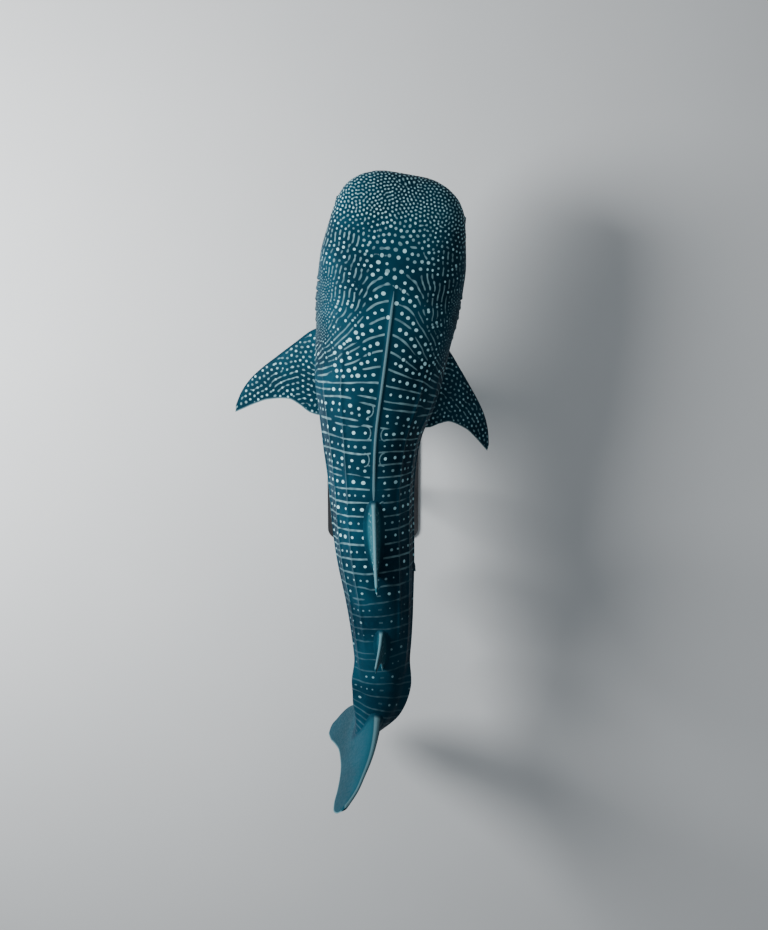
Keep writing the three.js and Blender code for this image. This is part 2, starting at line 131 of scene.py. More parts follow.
# Fins: lead and trail are the stations of the edges at a distance along the span
PECTORAL = {
    "left": 8.3, "up": -3.3, "root": -3.5, "tip": 13.3, "pivot": 27, "incidence": 4, "curl": 1.2,
    "lead": [
        (-3.5, 21.3), (1.7, 23.2), (4.7, 25.8), (7.1, 28), (9.7, 30.4), (11.3, 32.2), (12.6, 34.4),
        (13.3, 36.6),
    ],
    "trail": [
        (-3.5, 31.5), (-0.5, 35.8), (0.8, 35.6), (2.6, 34.7), (4.4, 34.1), (7.7, 34.7), (9.9, 35.7),
        (12.2, 37.0), (13.3, 37.6),
    ],
    "thickness": [(-3.5, 1.9), (1, 1.5), (7, 0.9), (13.3, 0.3)],
}
PELVIC = {
    "left": 3.0, "up": -4.3, "root": -1.5, "tip": 3.9, "pivot": 57, "incidence": 3, "curl": 2,
    "lead": [(-1.5, 54.6), (0, 55.3), (2, 56.6), (3.2, 58), (3.9, 59.4)],
    "trail": [(-1.5, 58.6), (0, 61.3), (0.7, 61.4), (1.8, 60.2), (3.2, 60.4), (3.9, 60.5)],
    "thickness": [(-1.5, 0.9), (0, 0.7), (3.9, 0.15)],
}
FIRST_DORSAL = {
    "root": 5, "tip": 15.6, "bend": 0, "bend_from": 0,
    "lead": [(5, 44.4), (7.4, 46.2), (10, 48.8), (13, 52.0), (14.8, 54.4), (15.6, 56.0)],
    "trail": [
        (5, 55.1), (6.6, 57.6), (7.3, 58.0), (8.2, 56.4), (9.8, 55.3), (12, 55.4), (14.6, 56.6), (15.6, 57.1),
    ],
    "thickness": [(5, 1.7), (8, 1.1), (15.6, 0.3)],
}
SECOND_DORSAL = {
    "root": 2.6, "tip": 8.0, "bend": 0.05, "bend_from": 3.4,
    "lead": [(2.6, 65.0), (4.4, 66.0), (6, 67.6), (7.4, 69.3), (8.0, 70.3)],
    "trail": [(2.6, 69.8), (3.5, 71.8), (4.0, 72.2), (4.8, 71.0), (6, 70.4), (7.4, 70.8), (8.0, 71.1)],
    "thickness": [(2.6, 0.9), (5, 0.6), (8.0, 0.2)],
}
ANAL = {
    "root": -7.4, "tip": -2.2, "bend": 0, "bend_from": 0,
    "lead": [(-7.4, 74.2), (-6.6, 72.6), (-5.4, 70.9), (-4, 69.2), (-2.2, 67.9)],
    "trail": [(-7.4, 74.9), (-6.4, 74.2), (-5, 73.8), (-4.2, 74.4), (-3.4, 75.6), (-3.0, 75.2), (-2.2, 73)],
    "thickness": [(-7.4, 0.2), (-4.5, 0.6), (-2.2, 0.9)],
}
CAUDAL = {
    "root": -13.3, "tip": 13.9, "bend": 0, "bend_from": 0,
    "lead": [
        (-13.3, 87.9), (-12.4, 86.2), (-10.3, 84.4), (-7.6, 82.9), (-4, 81.2), (-0.5, 78.2),
        (2, 79.6), (5.2, 82.3), (10.1, 86.5), (12.3, 88.8), (13.3, 90.4), (13.9, 91.8),
    ],
    "trail": [
        (-13.3, 88.9), (-12.0, 89.6), (-9.7, 89.7), (-7, 89.4), (-3.9, 89.2), (-0.5, 89.6), (1.6, 90),
        (4.5, 90.9), (7.2, 92), (10, 93.3), (11.9, 93.7), (13.1, 93.4), (13.9, 92.6),
    ],
    "thickness": [(-13.3, 0.35), (-7, 1.0), (-3, 1.8), (0, 2.6), (3, 2.0), (7, 1.3), (13.9, 0.5)],
}
FIN_EDGE = 0.05
LEFT_PECTORAL_DROOP = 17
RIGHT_PECTORAL_DROOP = 21
PELVIC_DROOP = 38
RIGHT_PECTORAL_SWEEP = 1.4

# Where each piece lies on the unwrapped skin: left, low, right, high
UNWRAP = {
    "body": (0.005, 0.005, 0.995, 0.74),
    "lid_left": (0.405, 0.745, 0.465, 0.756),
    "lid_right": (0.475, 0.745, 0.535, 0.756),
    "pectoral_left": (0.005, 0.76, 0.195, 0.995),
    "pectoral_right": (0.205, 0.76, 0.395, 0.995),
    "pelvic_left": (0.405, 0.76, 0.465, 0.87),
    "pelvic_right": (0.405, 0.88, 0.465, 0.995),
    "first_dorsal": (0.475, 0.76, 0.615, 0.995),
    "second_dorsal": (0.625, 0.76, 0.69, 0.87),
    "anal": (0.625, 0.88, 0.69, 0.995),
    "caudal": (0.70, 0.76, 0.995, 0.995),
}


def smooth_step(t):
    x = np.clip(t, 0, 1)
    return x * x * (3 - 2 * x)


def bump(distance, width, power=2):
    """One at no distance, falling to nothing beyond the width."""
    return np.exp(-((distance / width) ** power))


def between_cells(values, y, x, ease=np.positive):
    """Values of a grid between its cells, mixed from the four nearest."""
    i, j = y.astype(int), x.astype(int)
    fy, fx = ease(y - i), ease(x - j)
    top = values[i, j] * (1 - fx) + values[i, j + 1] * fx
    bottom = values[i + 1, j] * (1 - fx) + values[i + 1, j + 1] * fx
    return top * (1 - fy) + bottom * fy


def put_in_scene(name, data):
    thing = bpy.data.objects.new(name, data)
    bpy.context.scene.collection.objects.link(thing)
    return thing


def unwrapped(name, across, up):
    """Places in a piece's box of the unwrap, from shares of its width and height."""
    left, low, right, high = UNWRAP[name]
    return np.stack(np.broadcast_arrays(left + (right - left) * across, low + (high - low) * up), -1)


# Pose

def directions(s):
    """Unit vectors at a station: along the spine to the tail, to the left, and to the back."""
    turn = np.radians(heading(s))
    slope = np.radians(rise(s))
    roll = np.radians(lean(s))
    zero = np.zeros_like(turn)
    along = np.stack([np.sin(turn) * np.cos(slope), np.cos(turn) * np.cos(slope), np.sin(slope)], -1)
    level = np.stack([np.cos(turn), -np.sin(turn), zero], -1)
    above = np.cross(level, along)
    left = level * np.cos(roll)[..., None] + above * np.sin(roll)[..., None]
    up = above * np.cos(roll)[..., None] - level * np.sin(roll)[..., None]
    return along, left, up


SPINE_STEP = 0.25
SPINE_STATIONS = np.arange(0, 110 + SPINE_STEP, SPINE_STEP)


def spine_points():
    steps = directions(SPINE_STATIONS[:-1] + SPINE_STEP / 2)[0] * SPINE_STEP * PERCENT
    points = np.concatenate([np.zeros((1, 3)), np.cumsum(steps, axis=0)])
    middle = points[int(STAND_STATION / SPINE_STEP)]
    return points - middle + np.array([0, 0, AXIS_HEIGHT])


SPINE = spine_points()


def spine_at(s):
    return np.stack([np.interp(s, SPINE_STATIONS, SPINE[:, axis]) for axis in range(3)], -1)


def posed(s, left, up):
    """From the straight shark to its place in the posed model, in metres."""
    s, left, up = np.broadcast_arrays(np.asarray(s, float), left, up)
    _, to_left, to_back = directions(s)
    return spine_at(s) + to_left * (left * PERCENT)[..., None] + to_back * (up * PERCENT)[..., None]


def posed_stiffly(pivot, s, left, up):
    """The same for what follows the direction of the body at one station only."""
    along, to_left, to_back = directions(np.array(float(pivot)))
    offset = along * ((s - pivot) * PERCENT)[..., None] + to_left * (left * PERCENT)[..., None]
    return spine_at(np.array(float(pivot))) + offset + to_back * (up * PERCENT)[..., None]


# Shape of the body

FINE_ANGLES = np.linspace(0, np.pi, 361)


def half_rings(s):
    """Half sections from the back down the left side to the belly: left, up and arc length, per cent."""
    power = (2 / squareness(s))[:, None]
    across = np.sin(FINE_ANGLES)[None] ** power
    rise_or_fall = np.sign(np.cos(FINE_ANGLES)) * np.abs(np.cos(FINE_ANGLES)) ** power
    height = np.where(rise_or_fall > 0, top_height(s)[:, None], belly_depth(s)[:, None])
    left = half_width(s)[:, None] * across
    up = height * rise_or_fall
    pieces = np.hypot(np.diff(left), np.diff(up))
    arc = np.concatenate([np.zeros((len(s), 1)), np.cumsum(pieces, axis=1)], axis=1)
    return left, up, arc


def ridge_arcs(ridge, fine_arc):
    """Arc length from the midline to a ridge, in each half section."""
    return fine_arc[:, np.searchsorted(FINE_ANGLES, np.radians(90 - ridge["angle"]))]


def ridge_lift(s, arc, fine_arc):
    """How far the ridges stand out of the section at an arc length."""
    lift = np.zeros_like(arc)
    for ridge in RIDGES:
        centre = ridge_arcs(ridge, fine_arc)[:, None]
        fade_in = smooth_step((s - ridge["start"]) / ridge["fade"])
        fade_out = smooth_step((ridge["end"] - s) / ridge["fade"])
        height = (ridge["height"] * fade_in * fade_out)[:, None]
        width = RIDGE_WIDTH * (1 + 1.2 * (ridge["height"] > 0.5))
        lift += height * bump(arc - centre, width)
    return lift


def body_stations():
    """Stations of the rings, closest where the snout turns and at the gills."""
    spacing = through([
        (0, 0.012), (0.5, 0.035), (1.5, 0.06), (5, 0.07), (15, 0.075), (15.8, 0.06), (22.6, 0.06),
        (23.6, 0.085), (30, 0.11), (60, 0.13), (BODY_END, 0.13),
    ])
    stations = [0.0]
    while stations[-1] < BODY_END:
        stations.append(stations[-1] + float(spacing(stations[-1])))
    stations[-1] = BODY_END
    return np.array(stations)


HALF_COLUMNS = 270
TIP_RINGS = 22


def both_halves(half, sign):
    """Adds the right side to the values of the left side, with or without a change of sign."""
    return np.concatenate([half, sign * half[:, -2:0:-1]], axis=1)


def body_grid():
    """The straight body as a grid of station, left and up, with arc lengths and the scale of each ring."""
    stations = body_stations()
    rings = np.concatenate([np.zeros(TIP_RINGS), stations])
    tip_scale = np.linspace(0.01, 1, TIP_RINGS, endpoint=False)
    scale = np.concatenate([tip_scale, np.ones(len(stations))])[:, None]
    fine_left, fine_up, fine_arc = half_rings(rings)
    t = np.linspace(0, 1, HALF_COLUMNS + 1)
    share = 0.82 * t + 0.18 * t ** 3
    left = np.empty((len(rings), HALF_COLUMNS + 1))
    up = np.empty_like(left)
    arc = share[None] * fine_arc[:, -1:]
    for i in range(len(rings)):
        left[i] = np.interp(arc[i], fine_arc[i], fine_left[i])
        up[i] = np.interp(arc[i], fine_arc[i], fine_up[i])
    lift = ridge_lift(rings, arc, fine_arc)
    size = np.maximum(np.hypot(left, up), 1e-6)
    left, up = left + lift * left / size, up + lift * up / size
    tip_centre = (top_height(0) - belly_depth(0)) / 2
    left, up = left * scale, tip_centre + (up - tip_centre) * scale
    left, up, arc = both_halves(left, -1), both_halves(up, 1), both_halves(arc, -1)
    return np.broadcast_to(rings[:, None], left.shape).copy(), left, up, arc, scale


def grid_normals(s, left, up):
    """Outward normals of the straight body from its neighbours in the grid."""
    points = np.stack([s, left, up], -1)
    along = np.gradient(points, axis=0)
    around = np.roll(points, -1, axis=1) - np.roll(points, 1, axis=1)
    normals = np.cross(around, along)
    normals /= np.maximum(np.linalg.norm(normals, axis=-1, keepdims=True), 1e-9)
    outwards = np.sign(normals[..., 1] * left + normals[..., 2] * up)
    middle = outwards[len(outwards) // 2].sum()
    return normals * (1 if middle > 0 else -1)


# Details cut into the head

FAR = 9


def mouth_line(left):
    """Height of the slit of the mouth: highest in the middle, lower at the corners."""
    return MOUTH["height"] - MOUTH["droop"] * left ** 2


def carve_mouth(s, left, up):
    """Opens the slit of the mouth between two rounded lips, and tells how far inside it each place is."""
    reach = smooth_step((MOUTH["corner"] + 0.15 - s) / 0.9)
    half_opening = 0.05 + MOUTH["opening"] / 2 * np.clip(1 - s / MOUTH["corner"], 0, 1)
    v = np.abs(up - mouth_line(left)) / half_opening
    inside = np.clip(1 - v ** 2, 0, 1) ** 0.35 * reach
    lips = bump(v - 1.75, 0.6) * reach
    depth = MOUTH["depth"] * (0.25 + 0.75 * np.clip(half_opening / 0.26, 0, 1))
    # inside is also painted as shade in the slit of the mouth
    return MOUTH["lip"] * lips - depth * inside, inside


def carve_gills(s, up):
    """Five slits on each side, each a narrow groove with its front flap standing out a little."""
    push = np.zeros_like(s)
    dark = np.zeros_like(s)
    for i in range(GILLS["count"]):
        tall = GILLS["tall"] * (1 - GILLS["taper"] * i)
        height = (up - GILLS["middle"]) / (tall / 2)
        station = GILLS["first"] + i * GILLS["spacing"] + GILLS["curve"] * height ** 2
        fade = smooth_step((1 - np.abs(height)) / 0.25)
        groove = bump(s - station, GILLS["wide"] * 0.6) * fade
        flap = bump(s - station + 0.35, 0.28) * fade
        push += GILLS["flap"] * flap - GILLS["depth"] * groove
        # The groove's share is painted as shade in the slit
        dark = np.maximum(dark, groove)
    return push, dark


def dent_eye(s, left, up, side):
    """The hollow that an eye sits in, with a low fold round it."""
    near = np.hypot(s - EYE_PLACE["station"], up - EYE_PLACE["up"])
    near = np.where(np.abs(left - side * half_width(EYE_PLACE["station"])) < 1.5, near, FAR)
    fold = EYE_HOLLOW["fold"] * bump(near - EYE_HOLLOW["fold_radius"], EYE_HOLLOW["fold_width"])
    return fold - EYE_HOLLOW["depth"] * bump(near, EYE_HOLLOW["radius"], 4)


def dent_spiracle(s, left, up, side):
    """The round pit behind an eye, with its rim, and how far inside it each place is."""
    pit = np.hypot(s - SPIRACLE["station"], up - SPIRACLE["up"])
    pit = np.where(left * side > 0, pit, FAR)
    inside = bump(pit, SPIRACLE["radius"], 4)
    rim = SPIRACLE["rim"] * bump(pit - SPIRACLE["radius"] - 0.10, SPIRACLE["rim_width"])
    return rim - SPIRACLE["depth"] * inside, inside


def dent_nostril(s, left, up, side):
    """The slit of a nostril above the mouth, and how far inside it each place is."""
    across = (left - side * NOSTRIL["left"]) / NOSTRIL["half_width"]
    above = (up - mouth_line(left) - NOSTRIL["above_mouth"]) / NOSTRIL["half_height"]
    slit = np.where(s < NOSTRIL_END, np.hypot(across, above), FAR)
    return -NOSTRIL["depth"] * bump(slit, 1), bump(slit, 1, 4)


def dents_and_rims(s, left, up):
    """The eyes' hollows, the spiracles and the nostrils."""
    push = np.zeros_like(s)
    dark = np.zeros_like(s)
    for side in (1, -1):
        push += dent_eye(s, left, up, side)
        for dent in (dent_spiracle, dent_nostril):
            depth, inside = dent(s, left, up, side)
            push += depth
            # How far into a spiracle or a nostril, painted as shade in the pit
            dark = np.maximum(dark, inside)
    return push, dark


def circle(turn, forwards, upwards):
    return np.cos(turn)[..., None] * forwards + np.sin(turn)[..., None] * upwards


def eye_frame(side):
    """The middle of an eye on the head's surface, and the directions forwards, to the back and outwards."""
    station = EYE_PLACE["station"]
    place = posed(station, side * half_width(station), EYE_PLACE["up"])
    _, to_left, to_back = directions(np.array(float(station)))
    outwards = to_left * side
    return place, np.cross(to_back, outwards), to_back, outwards


# Pieces of the skin: the body, the lids and the fins, each a tube with its marks

OUTSIDE = -16.0


def tube_quads(rows, columns):
    """Faces of a grid that closes on its first column."""
    index = np.arange(rows * columns).reshape(rows, columns)
    following = np.roll(index, -1, axis=1)
    return np.stack([index[:-1], following[:-1], following[1:], index[1:]], -1).reshape(-1, 4)


def facing(points, quads, centre):
    """One if the quads look away from the centre on the whole, minus one if they look towards it."""
    a, b, c = (points[quads[:, k]] for k in (0, 1, 2))
    outward = np.einsum("ij,ij->i", np.cross(b - a, c - a), a - centre).sum()
    return 1 if outward > 0 else -1


class Patch:
    """A tube of quads, its places on the flat map of the skin, and the fields that the material reads.

    The unwrap has one column more than the points, because the tube closes on its first column.
    """

    def __init__(self, world, flat, uv, fields):
        self.world = world
        self.flat = flat
        self.uv = uv
        shape = world.shape[:2]
        names = ("mark", "mark_tone", "spot", "spot_tone", "white", "dark", "rim", "edge_light_tone", "pale")
        self.fields = {name: np.zeros(shape) for name in names}
        self.fields["mark"][:] = OUTSIDE
        self.fields["spot"][:] = OUTSIDE
        self.fields.update(fields)

    def corners(self):
        """The unwrap at the four corners of each quad."""
        left, right = self.uv[:, :-1], self.uv[:, 1:]
        return np.stack([left[:-1], right[:-1], right[1:], left[1:]], 2).reshape(-1, 4, 2)

    def take_marks(self, chart, shown):
        """Reads the marks off a chart of the skin, only where the places are shown by it."""
        for name, values in chart.layers.items():
            read = chart.read(values, self.flat[..., 0], self.flat[..., 1])
            self.fields[name] = np.where(shown, read, OUTSIDE if name in ("mark", "spot") else 0)


LID_STEPS = 97
LID_COLUMNS = 20


def lid_patch(name, side):
    """The fold of skin round an eye: a soft ring that overlaps the edge of the eyeball."""
    place, forwards, upwards, outwards = eye_frame(side)
    turn = np.linspace(0, 2 * np.pi, LID_STEPS)[:, None]
    bend = np.linspace(0, 2 * np.pi, LID_COLUMNS, endpoint=False)[None]
    fold = 1 + 0.10 * np.sin(3 * turn + 1) * bump(bend - 1.2, 1) + 0.05 * np.cos(7 * turn)
    ring = (LID["ring"] * (1 - 0.05 * np.cos(2 * turn)) + LID["thick"] * fold * np.cos(bend)) * PERCENT
    lift = (LID["out"] + LID["thick"] * fold * np.sin(bend)) * PERCENT
    points = place + ring[..., None] * circle(turn, forwards, upwards) + lift[..., None] * outwards
    uv = unwrapped(name, turn / (2 * np.pi), np.linspace(0, 1, LID_COLUMNS + 1)[None])
    shape = points.shape[:2]
    # dark: a faint share of the painted shade, on the lids
    fields = {"white": np.full(shape, -400.0), "dark": np.full(shape, 0.28)}
    return Patch(points, np.zeros(shape + (2,)), uv, fields)


# Share of the belly's depth below which the skin is white
white_level = through([(0, 0.25), (5, 0.22), (14, 0.35), (25, 0.52), (45, 0.55), (70, 0.5), (86.5, 0.6)])

# The face of the snout takes its marks straight from the front, from a round piece of the chart
SNOUT_END = 6
SNOUT_CAP = 2.2
CAP_MIDDLE = 3.5
CAP_EDGE = 0.12
TIP_REACH = 0.7


def unrolled(s):
    """Stations as laid out on the chart, which follows the curve of the snout down to its tip."""
    fine = np.linspace(0, SNOUT_END, 121)
    length = np.concatenate([[0], np.cumsum(np.hypot(np.diff(fine), np.diff(top_height(fine))))])
    return np.where(s < SNOUT_END, SNOUT_END - length[-1] + np.interp(s, fine, length), s)


def body_patch():
    """The body with its head, and how clear each place is of the edge of the snout's face."""
    s, left, up, arc, scale = body_grid()
    mouth, inside = carve_mouth(s, left, up)
    gills, slit = carve_gills(s, up)
    dents, pits = dents_and_rims(s, left, up)
    moved = np.stack([s, left, up], -1) + (mouth + gills + dents)[..., None] * grid_normals(s, left, up)
    white = (-up - white_level(s) * belly_depth(s)) * MILLIMETRES * (5 - 4 * smooth_step(s / 9))
    from_tip = np.hypot(left, up) + FAR * (s > SNOUT_END / 2)
    on_cap = from_tip < SNOUT_CAP
    down_chart = np.where(on_cap, CAP_MIDDLE + up, unrolled(s) - TIP_REACH * (1 - scale))
    flat = np.stack([down_chart, np.where(on_cap, left, arc)], -1)
    world = posed(moved[..., 0], moved[..., 1], moved[..., 2])
    along = s[:, :1] / BODY_END
    uv = unwrapped("body", 1.25 * along - 0.25 * along ** 2, np.linspace(0, 1, arc.shape[1] + 1)[None])

    def from_belly(values):
        return np.roll(values, arc.shape[1] // 2, axis=1)

    # dark: painted shade in the mouth, the gill slits, the spiracles and the nostrils
    fields = {"white": from_belly(white), "dark": from_belly(np.clip(inside + 0.9 * slit + pits, 0, 1))}
    clear_of_cap_edge = from_belly(smooth_step(np.abs(from_tip - SNOUT_CAP) / CAP_EDGE))
    return Patch(from_belly(world), from_belly(flat), uv, fields), clear_of_cap_edge


def body_distance(s, left, up):
    """Rough distance out of the straight body's surface, per cent."""
    power = squareness(s)
    height = np.where(up > 0, top_height(s), belly_depth(s))
    ratio = (np.abs(left / half_width(s)) ** power + np.abs(up / height) ** power) ** (1 / power)
    outwards = np.hypot(left, up) * (1 - 1 / np.maximum(ratio, 1e-3))
    behind = np.maximum(s - BODY_END, 0)
    return np.where(behind > 0, np.hypot(np.maximum(outwards, 0), behind), outwards)


def section(front, back, thick, side_points):
    """A rounded fin section, once round: front edge, left side, back edge, right side."""
    even = np.linspace(0, 1, side_points)
    t = 0.45 * (1 - np.cos(np.pi * even)) / 2 + 0.55 * even
    edge = FIN_EDGE * np.sin(np.pi * (0.04 + 0.92 * t))[None] ** 0.5
    half = thick[:, None] / 2 * 4 * (np.sqrt(t) - t)[None] + edge
    s = front[:, None] + (back - front)[:, None] * t[None]
    along = np.concatenate([s, s[:, ::-1]], axis=1)
    out = np.concatenate([half, -half[:, ::-1]], axis=1)
    share = np.concatenate([t, t[::-1]])
    return along, out, np.broadcast_to(share[None], along.shape)


# The flare of skin at a fin's root: its size, and its share forwards and backwards along the fin
FILLET = 0.9
FLARE_FORWARDS = 0.55
FLARE_BACKWARDS = 0.15
FLARE_END = 83
# Strength of the pale rim along the fins' edges, painted light where light catches them
EDGE_LIGHT_TONE = 0.22


def flare(s, left, up, out, share):
    """How far the skin spreads at the root of a fin, along the fin and out of its faces."""
    distance = np.clip(body_distance(s, left, up), 0, FILLET)
    size = FILLET * (1 - np.sqrt(np.clip(1 - (1 - distance / FILLET) ** 2, 0, 1)))
    size = size * smooth_step((FLARE_END - s) / 5)
    sideways = np.sign(out) * np.sin(np.pi * np.clip(share, 0.02, 0.98)) ** 0.4
    endways = np.abs(np.cos(np.pi * share)) ** 3 * np.where(share < 0.5, -FLARE_FORWARDS, FLARE_BACKWARDS)
    return endways * size, sideways * size


def fin_patch(name, shape, grid, locate, world, white, ends=(False, True), pale=0.0):
    """One fin as a closed tube of sections, flared at the body, with painted light: pale fins have a pale rim
    all round.
    """
    steps, side_points = grid
    h = np.linspace(shape["root"], shape["tip"], steps)
    lead = through(shape["lead"])(h)
    trail = through(shape["trail"])(h)
    thick = through(shape["thickness"])(h)
    along, out, share = section(lead, trail, thick, side_points)
    span = np.broadcast_to(h[:, None], along.shape)
    backwards, outwards = flare(*locate(along, span, out), out, share)
    s, left, up = locate(along + backwards, span, out + outwards)
    points = world(s, left, up)
    for end, closed in zip((0, -1), ends):
        if closed:
            points[end] = (points[end] + points[end][::-1]) / 2
    uv = unwrapped(name, np.linspace(0, 1, along.shape[1] + 1)[None], ((h - h[0]) / (h[-1] - h[0]))[:, None])
    from_edge = np.minimum(share, 1 - share) if pale else 1 - share
    beyond = smooth_step(body_distance(s, left, up) / 0.8)
    tip = smooth_step(beyond * 1.5)
    # rim and pale carry painted light: a pale rim along the edges, and paler upright fins
    fields = {
        "white": white(out, share), "rim": from_edge * (trail - lead)[:, None] * MILLIMETRES,
        "edge_light_tone": EDGE_LIGHT_TONE * tip, "pale": pale * tip,
    }
    return Patch(points, np.stack([along, span], -1), uv, fields), out > 0, beyond


def upright(shape):
    """Places the section of a fin in the middle plane, bent to the left along its span."""
    def locate(along, span, out):
        bend = shape["bend"] * np.maximum(0, np.abs(span) - shape["bend_from"]) ** 2
        return along, out + bend, span
    return locate


def paired(shape, side, droop, sweep=0):
    """Places the section of a paired fin, which droops more and more towards its tip."""
    start = math.radians(droop)
    curl = math.radians(shape["curl"])

    def locate(along, span, out):
        angle = start + curl * np.maximum(span, 0)
        reach = np.where(span < 0, span * math.cos(start), (np.sin(angle) - math.sin(start)) / curl)
        drop = np.where(span < 0, span * math.sin(start), (math.cos(start) - np.cos(angle)) / curl)
        tilt = (shape["pivot"] - along) * math.tan(math.radians(shape["incidence"]))
        left = side * (shape["left"] + reach + out * np.sin(angle))
        up = shape["up"] - drop + out * np.cos(angle) + tilt
        return along + sweep * np.maximum(span, 0) / shape["tip"], left, up
    return locate


# The field of white, in millimetres, where the skin is dark
NOT_WHITE = -200.0


def dark_both(out, _):
    return np.full(out.shape, NOT_WHITE)


def white_below(out, share):
    """White underside, with the dark of the upper side coming round the edges."""
    edge = np.minimum(share, 1 - share) * 400
    return np.where(out < 0, np.minimum(edge - 30, 60), NOT_WHITE)


def paired_fin(name, shape, grid, side, droop, sweep=0):
    """A fin at the side of the body, which keeps the direction of the body at its pivot."""
    def world(s, left, up):
        return posed_stiffly(shape["pivot"], s, left, up)
    return fin_patch(name, shape, grid, paired(shape, side, droop, sweep), world, white_below)


def upright_fin(name, shape, grid, pale, ends=(False, True)):
    return fin_patch(name, shape, grid, upright(shape), posed, dark_both, ends, pale)


def fins():
    """All the fins. A grid is the number of sections and of points on each side of a section."""
    pectoral, pelvic = (150, 110), (46, 40)
    table = {
        "pectoral_left": (paired_fin, PECTORAL, pectoral, 1, LEFT_PECTORAL_DROOP),
        "pectoral_right": (paired_fin, PECTORAL, pectoral, -1, RIGHT_PECTORAL_DROOP, RIGHT_PECTORAL_SWEEP),
        "pelvic_left": (paired_fin, PELVIC, pelvic, 1, PELVIC_DROOP),
        "pelvic_right": (paired_fin, PELVIC, pelvic, -1, PELVIC_DROOP),
        # The last number of an upright fin is how much paler it is painted, as painted light on its faces
        "first_dorsal": (upright_fin, FIRST_DORSAL, (100, 80), 0.7),
        "second_dorsal": (upright_fin, SECOND_DORSAL, (60, 50), 0.4),
        "anal": (upright_fin, ANAL, (60, 50), 0, (True, False)),
        "caudal": (upright_fin, CAUDAL, (240, 90), 0.22, (True, True)),
    }
    return {name: make(name, *rest) for name, (make, *rest) in table.items()}


# Markings, grown on flat charts of the skin: stations down the chart, distance from the midline across.
# The grown pattern is a sum of waves of a few spacings, each in every direction or in one of a few.

FINEST_WAVE = 0.38
WAVE_STEP = 1.38
WAVE_COUNT = 5
TURN_COUNT = 8


def wave_filter(rows, columns, cell, wave, turn):
    """Lets through stripes of one spacing, either of every direction or along one."""
    down = np.fft.fftfreq(rows, cell)[:, None]
    across = np.fft.rfftfreq(columns, cell)[None]
    ring = np.exp(-(np.log((np.hypot(down, across) + 1e-9) * wave) ** 2) / 0.08)
    if turn is None:
        return ring
    off = np.mod(np.degrees(np.arctan2(down, across)) - turn, 180) - 90
    return 2.2 * ring * np.exp(-(off ** 2) / 800)


def weighted_filters(shape, cell, wave, turn, stretch):
    """The filters that a pattern needs, each with how much it counts at every cell."""
    steps = np.log(FINEST_WAVE) + np.arange(WAVE_COUNT) * math.log(WAVE_STEP)
    log_wave = np.clip(np.log(wave), steps[0], steps[-1])
    sector = 180 / TURN_COUNT
    filters = []
    for step in steps:
        share = np.clip(1 - np.abs(log_wave - step) / math.log(WAVE_STEP), 0, 1)
        turns = [(None, share * (1 - stretch))]
        for k in range(TURN_COUNT):
            off = np.mod(turn - k * sector + 90, 180) - 90
            turns.append((k * sector, share * stretch * np.clip(1 - np.abs(off) / sector, 0, 1)))
        for direction, weight in turns:
            if weight.max() > 0.02:
                filters.append((wave_filter(*shape, cell, math.exp(step), direction), weight))
    return filters


def grow(cell, wave, turn, stretch, start, rounds):
    """Grows spots and lines out of a first state, with their spacing, direction and share of lines."""
    filters = weighted_filters(start.shape, cell, wave, turn, stretch)
    down = np.fft.fftfreq(start.shape[0], cell)[:, None]
    across = np.fft.rfftfreq(start.shape[1], cell)[None]
    blur = np.exp(-2 * (np.pi * 1.1) ** 2 * (down ** 2 + across ** 2))
    state = start
    for _ in range(rounds):
        spectrum = np.fft.rfft2(state)
        grown = np.zeros_like(state)
        for passed, weight in filters:
            grown += weight * np.fft.irfft2(spectrum * passed, s=state.shape)
        power = np.fft.irfft2(np.fft.rfft2(grown ** 2) * blur, s=state.shape)
        grown /= np.sqrt(np.maximum(power, 1e-8))
        state = np.tanh(1.3 * grown + 0.5 * (grown ** 2 - 1)) - 0.13
    return grown


class Chart:
    """A flat map of the skin or of one face of a fin, with its marks in millimetres from their edges."""

    def __init__(self, start, across, cell, rows, columns):
        self.cell = cell
        self.origin = (start, across)
        down = start + cell * np.arange(rows)
        out = across + cell * np.arange(columns)
        self.s, self.a = np.meshgrid(down, out, indexing="ij")
        self.layers = {
            "mark": np.full(self.s.shape, OUTSIDE), "mark_tone": np.zeros(self.s.shape),
            "spot": np.full(self.s.shape, OUTSIDE), "spot_tone": np.zeros(self.s.shape),
        }

    def read(self, values, s, a):
        """Value of a layer at places on the chart."""
        rows, columns = values.shape
        y = np.clip((s - self.origin[0]) / self.cell, 0, rows - 1.001)
        x = np.clip((a - self.origin[1]) / self.cell, 0, columns - 1.001)
        return between_cells(values, y, x)

    def touch(self, kind, s, a, radius, tone, squash=1.0):
        """A round spot or one touch of a line, long across the body for a squash above one."""
        i = int((s - self.origin[0]) / self.cell)
        j = int((a - self.origin[1]) / self.cell)
        n = int((radius * squash + 0.25) / self.cell) + 2
        window = (slice(max(i - n, 0), i + n + 1), slice(max(j - n, 0), j + n + 1))
        gap = (radius - np.hypot(self.s[window] - s, (self.a[window] - a) / squash)) * MILLIMETRES
        layer = self.layers[kind][window]
        nearer = gap > layer
        layer[nearer] = gap[nearer]
        self.layers[kind + "_tone"][window][nearer] = tone

    def add_lines(self, grown, wave, level, tone):
        """Takes the grown pattern above a level as marks."""
        depth = (grown - level) * wave / (2 * np.pi) * MILLIMETRES
        self.layers["mark"] = np.maximum(np.clip(depth, OUTSIDE, None), self.layers["mark"])
        self.layers["mark_tone"] = np.broadcast_to(tone, grown.shape).copy()


def soft_noise(shape, size, low, high):
    """Smooth random values between two numbers, changing over a number of cells."""
    coarse = rng.uniform(low, high, (shape[0] // size + 3, shape[1] // size + 3))
    y, x = np.arange(shape[0])[:, None] / size, np.arange(shape[1])[None] / size
    return between_cells(coarse, y, x, smooth_step)


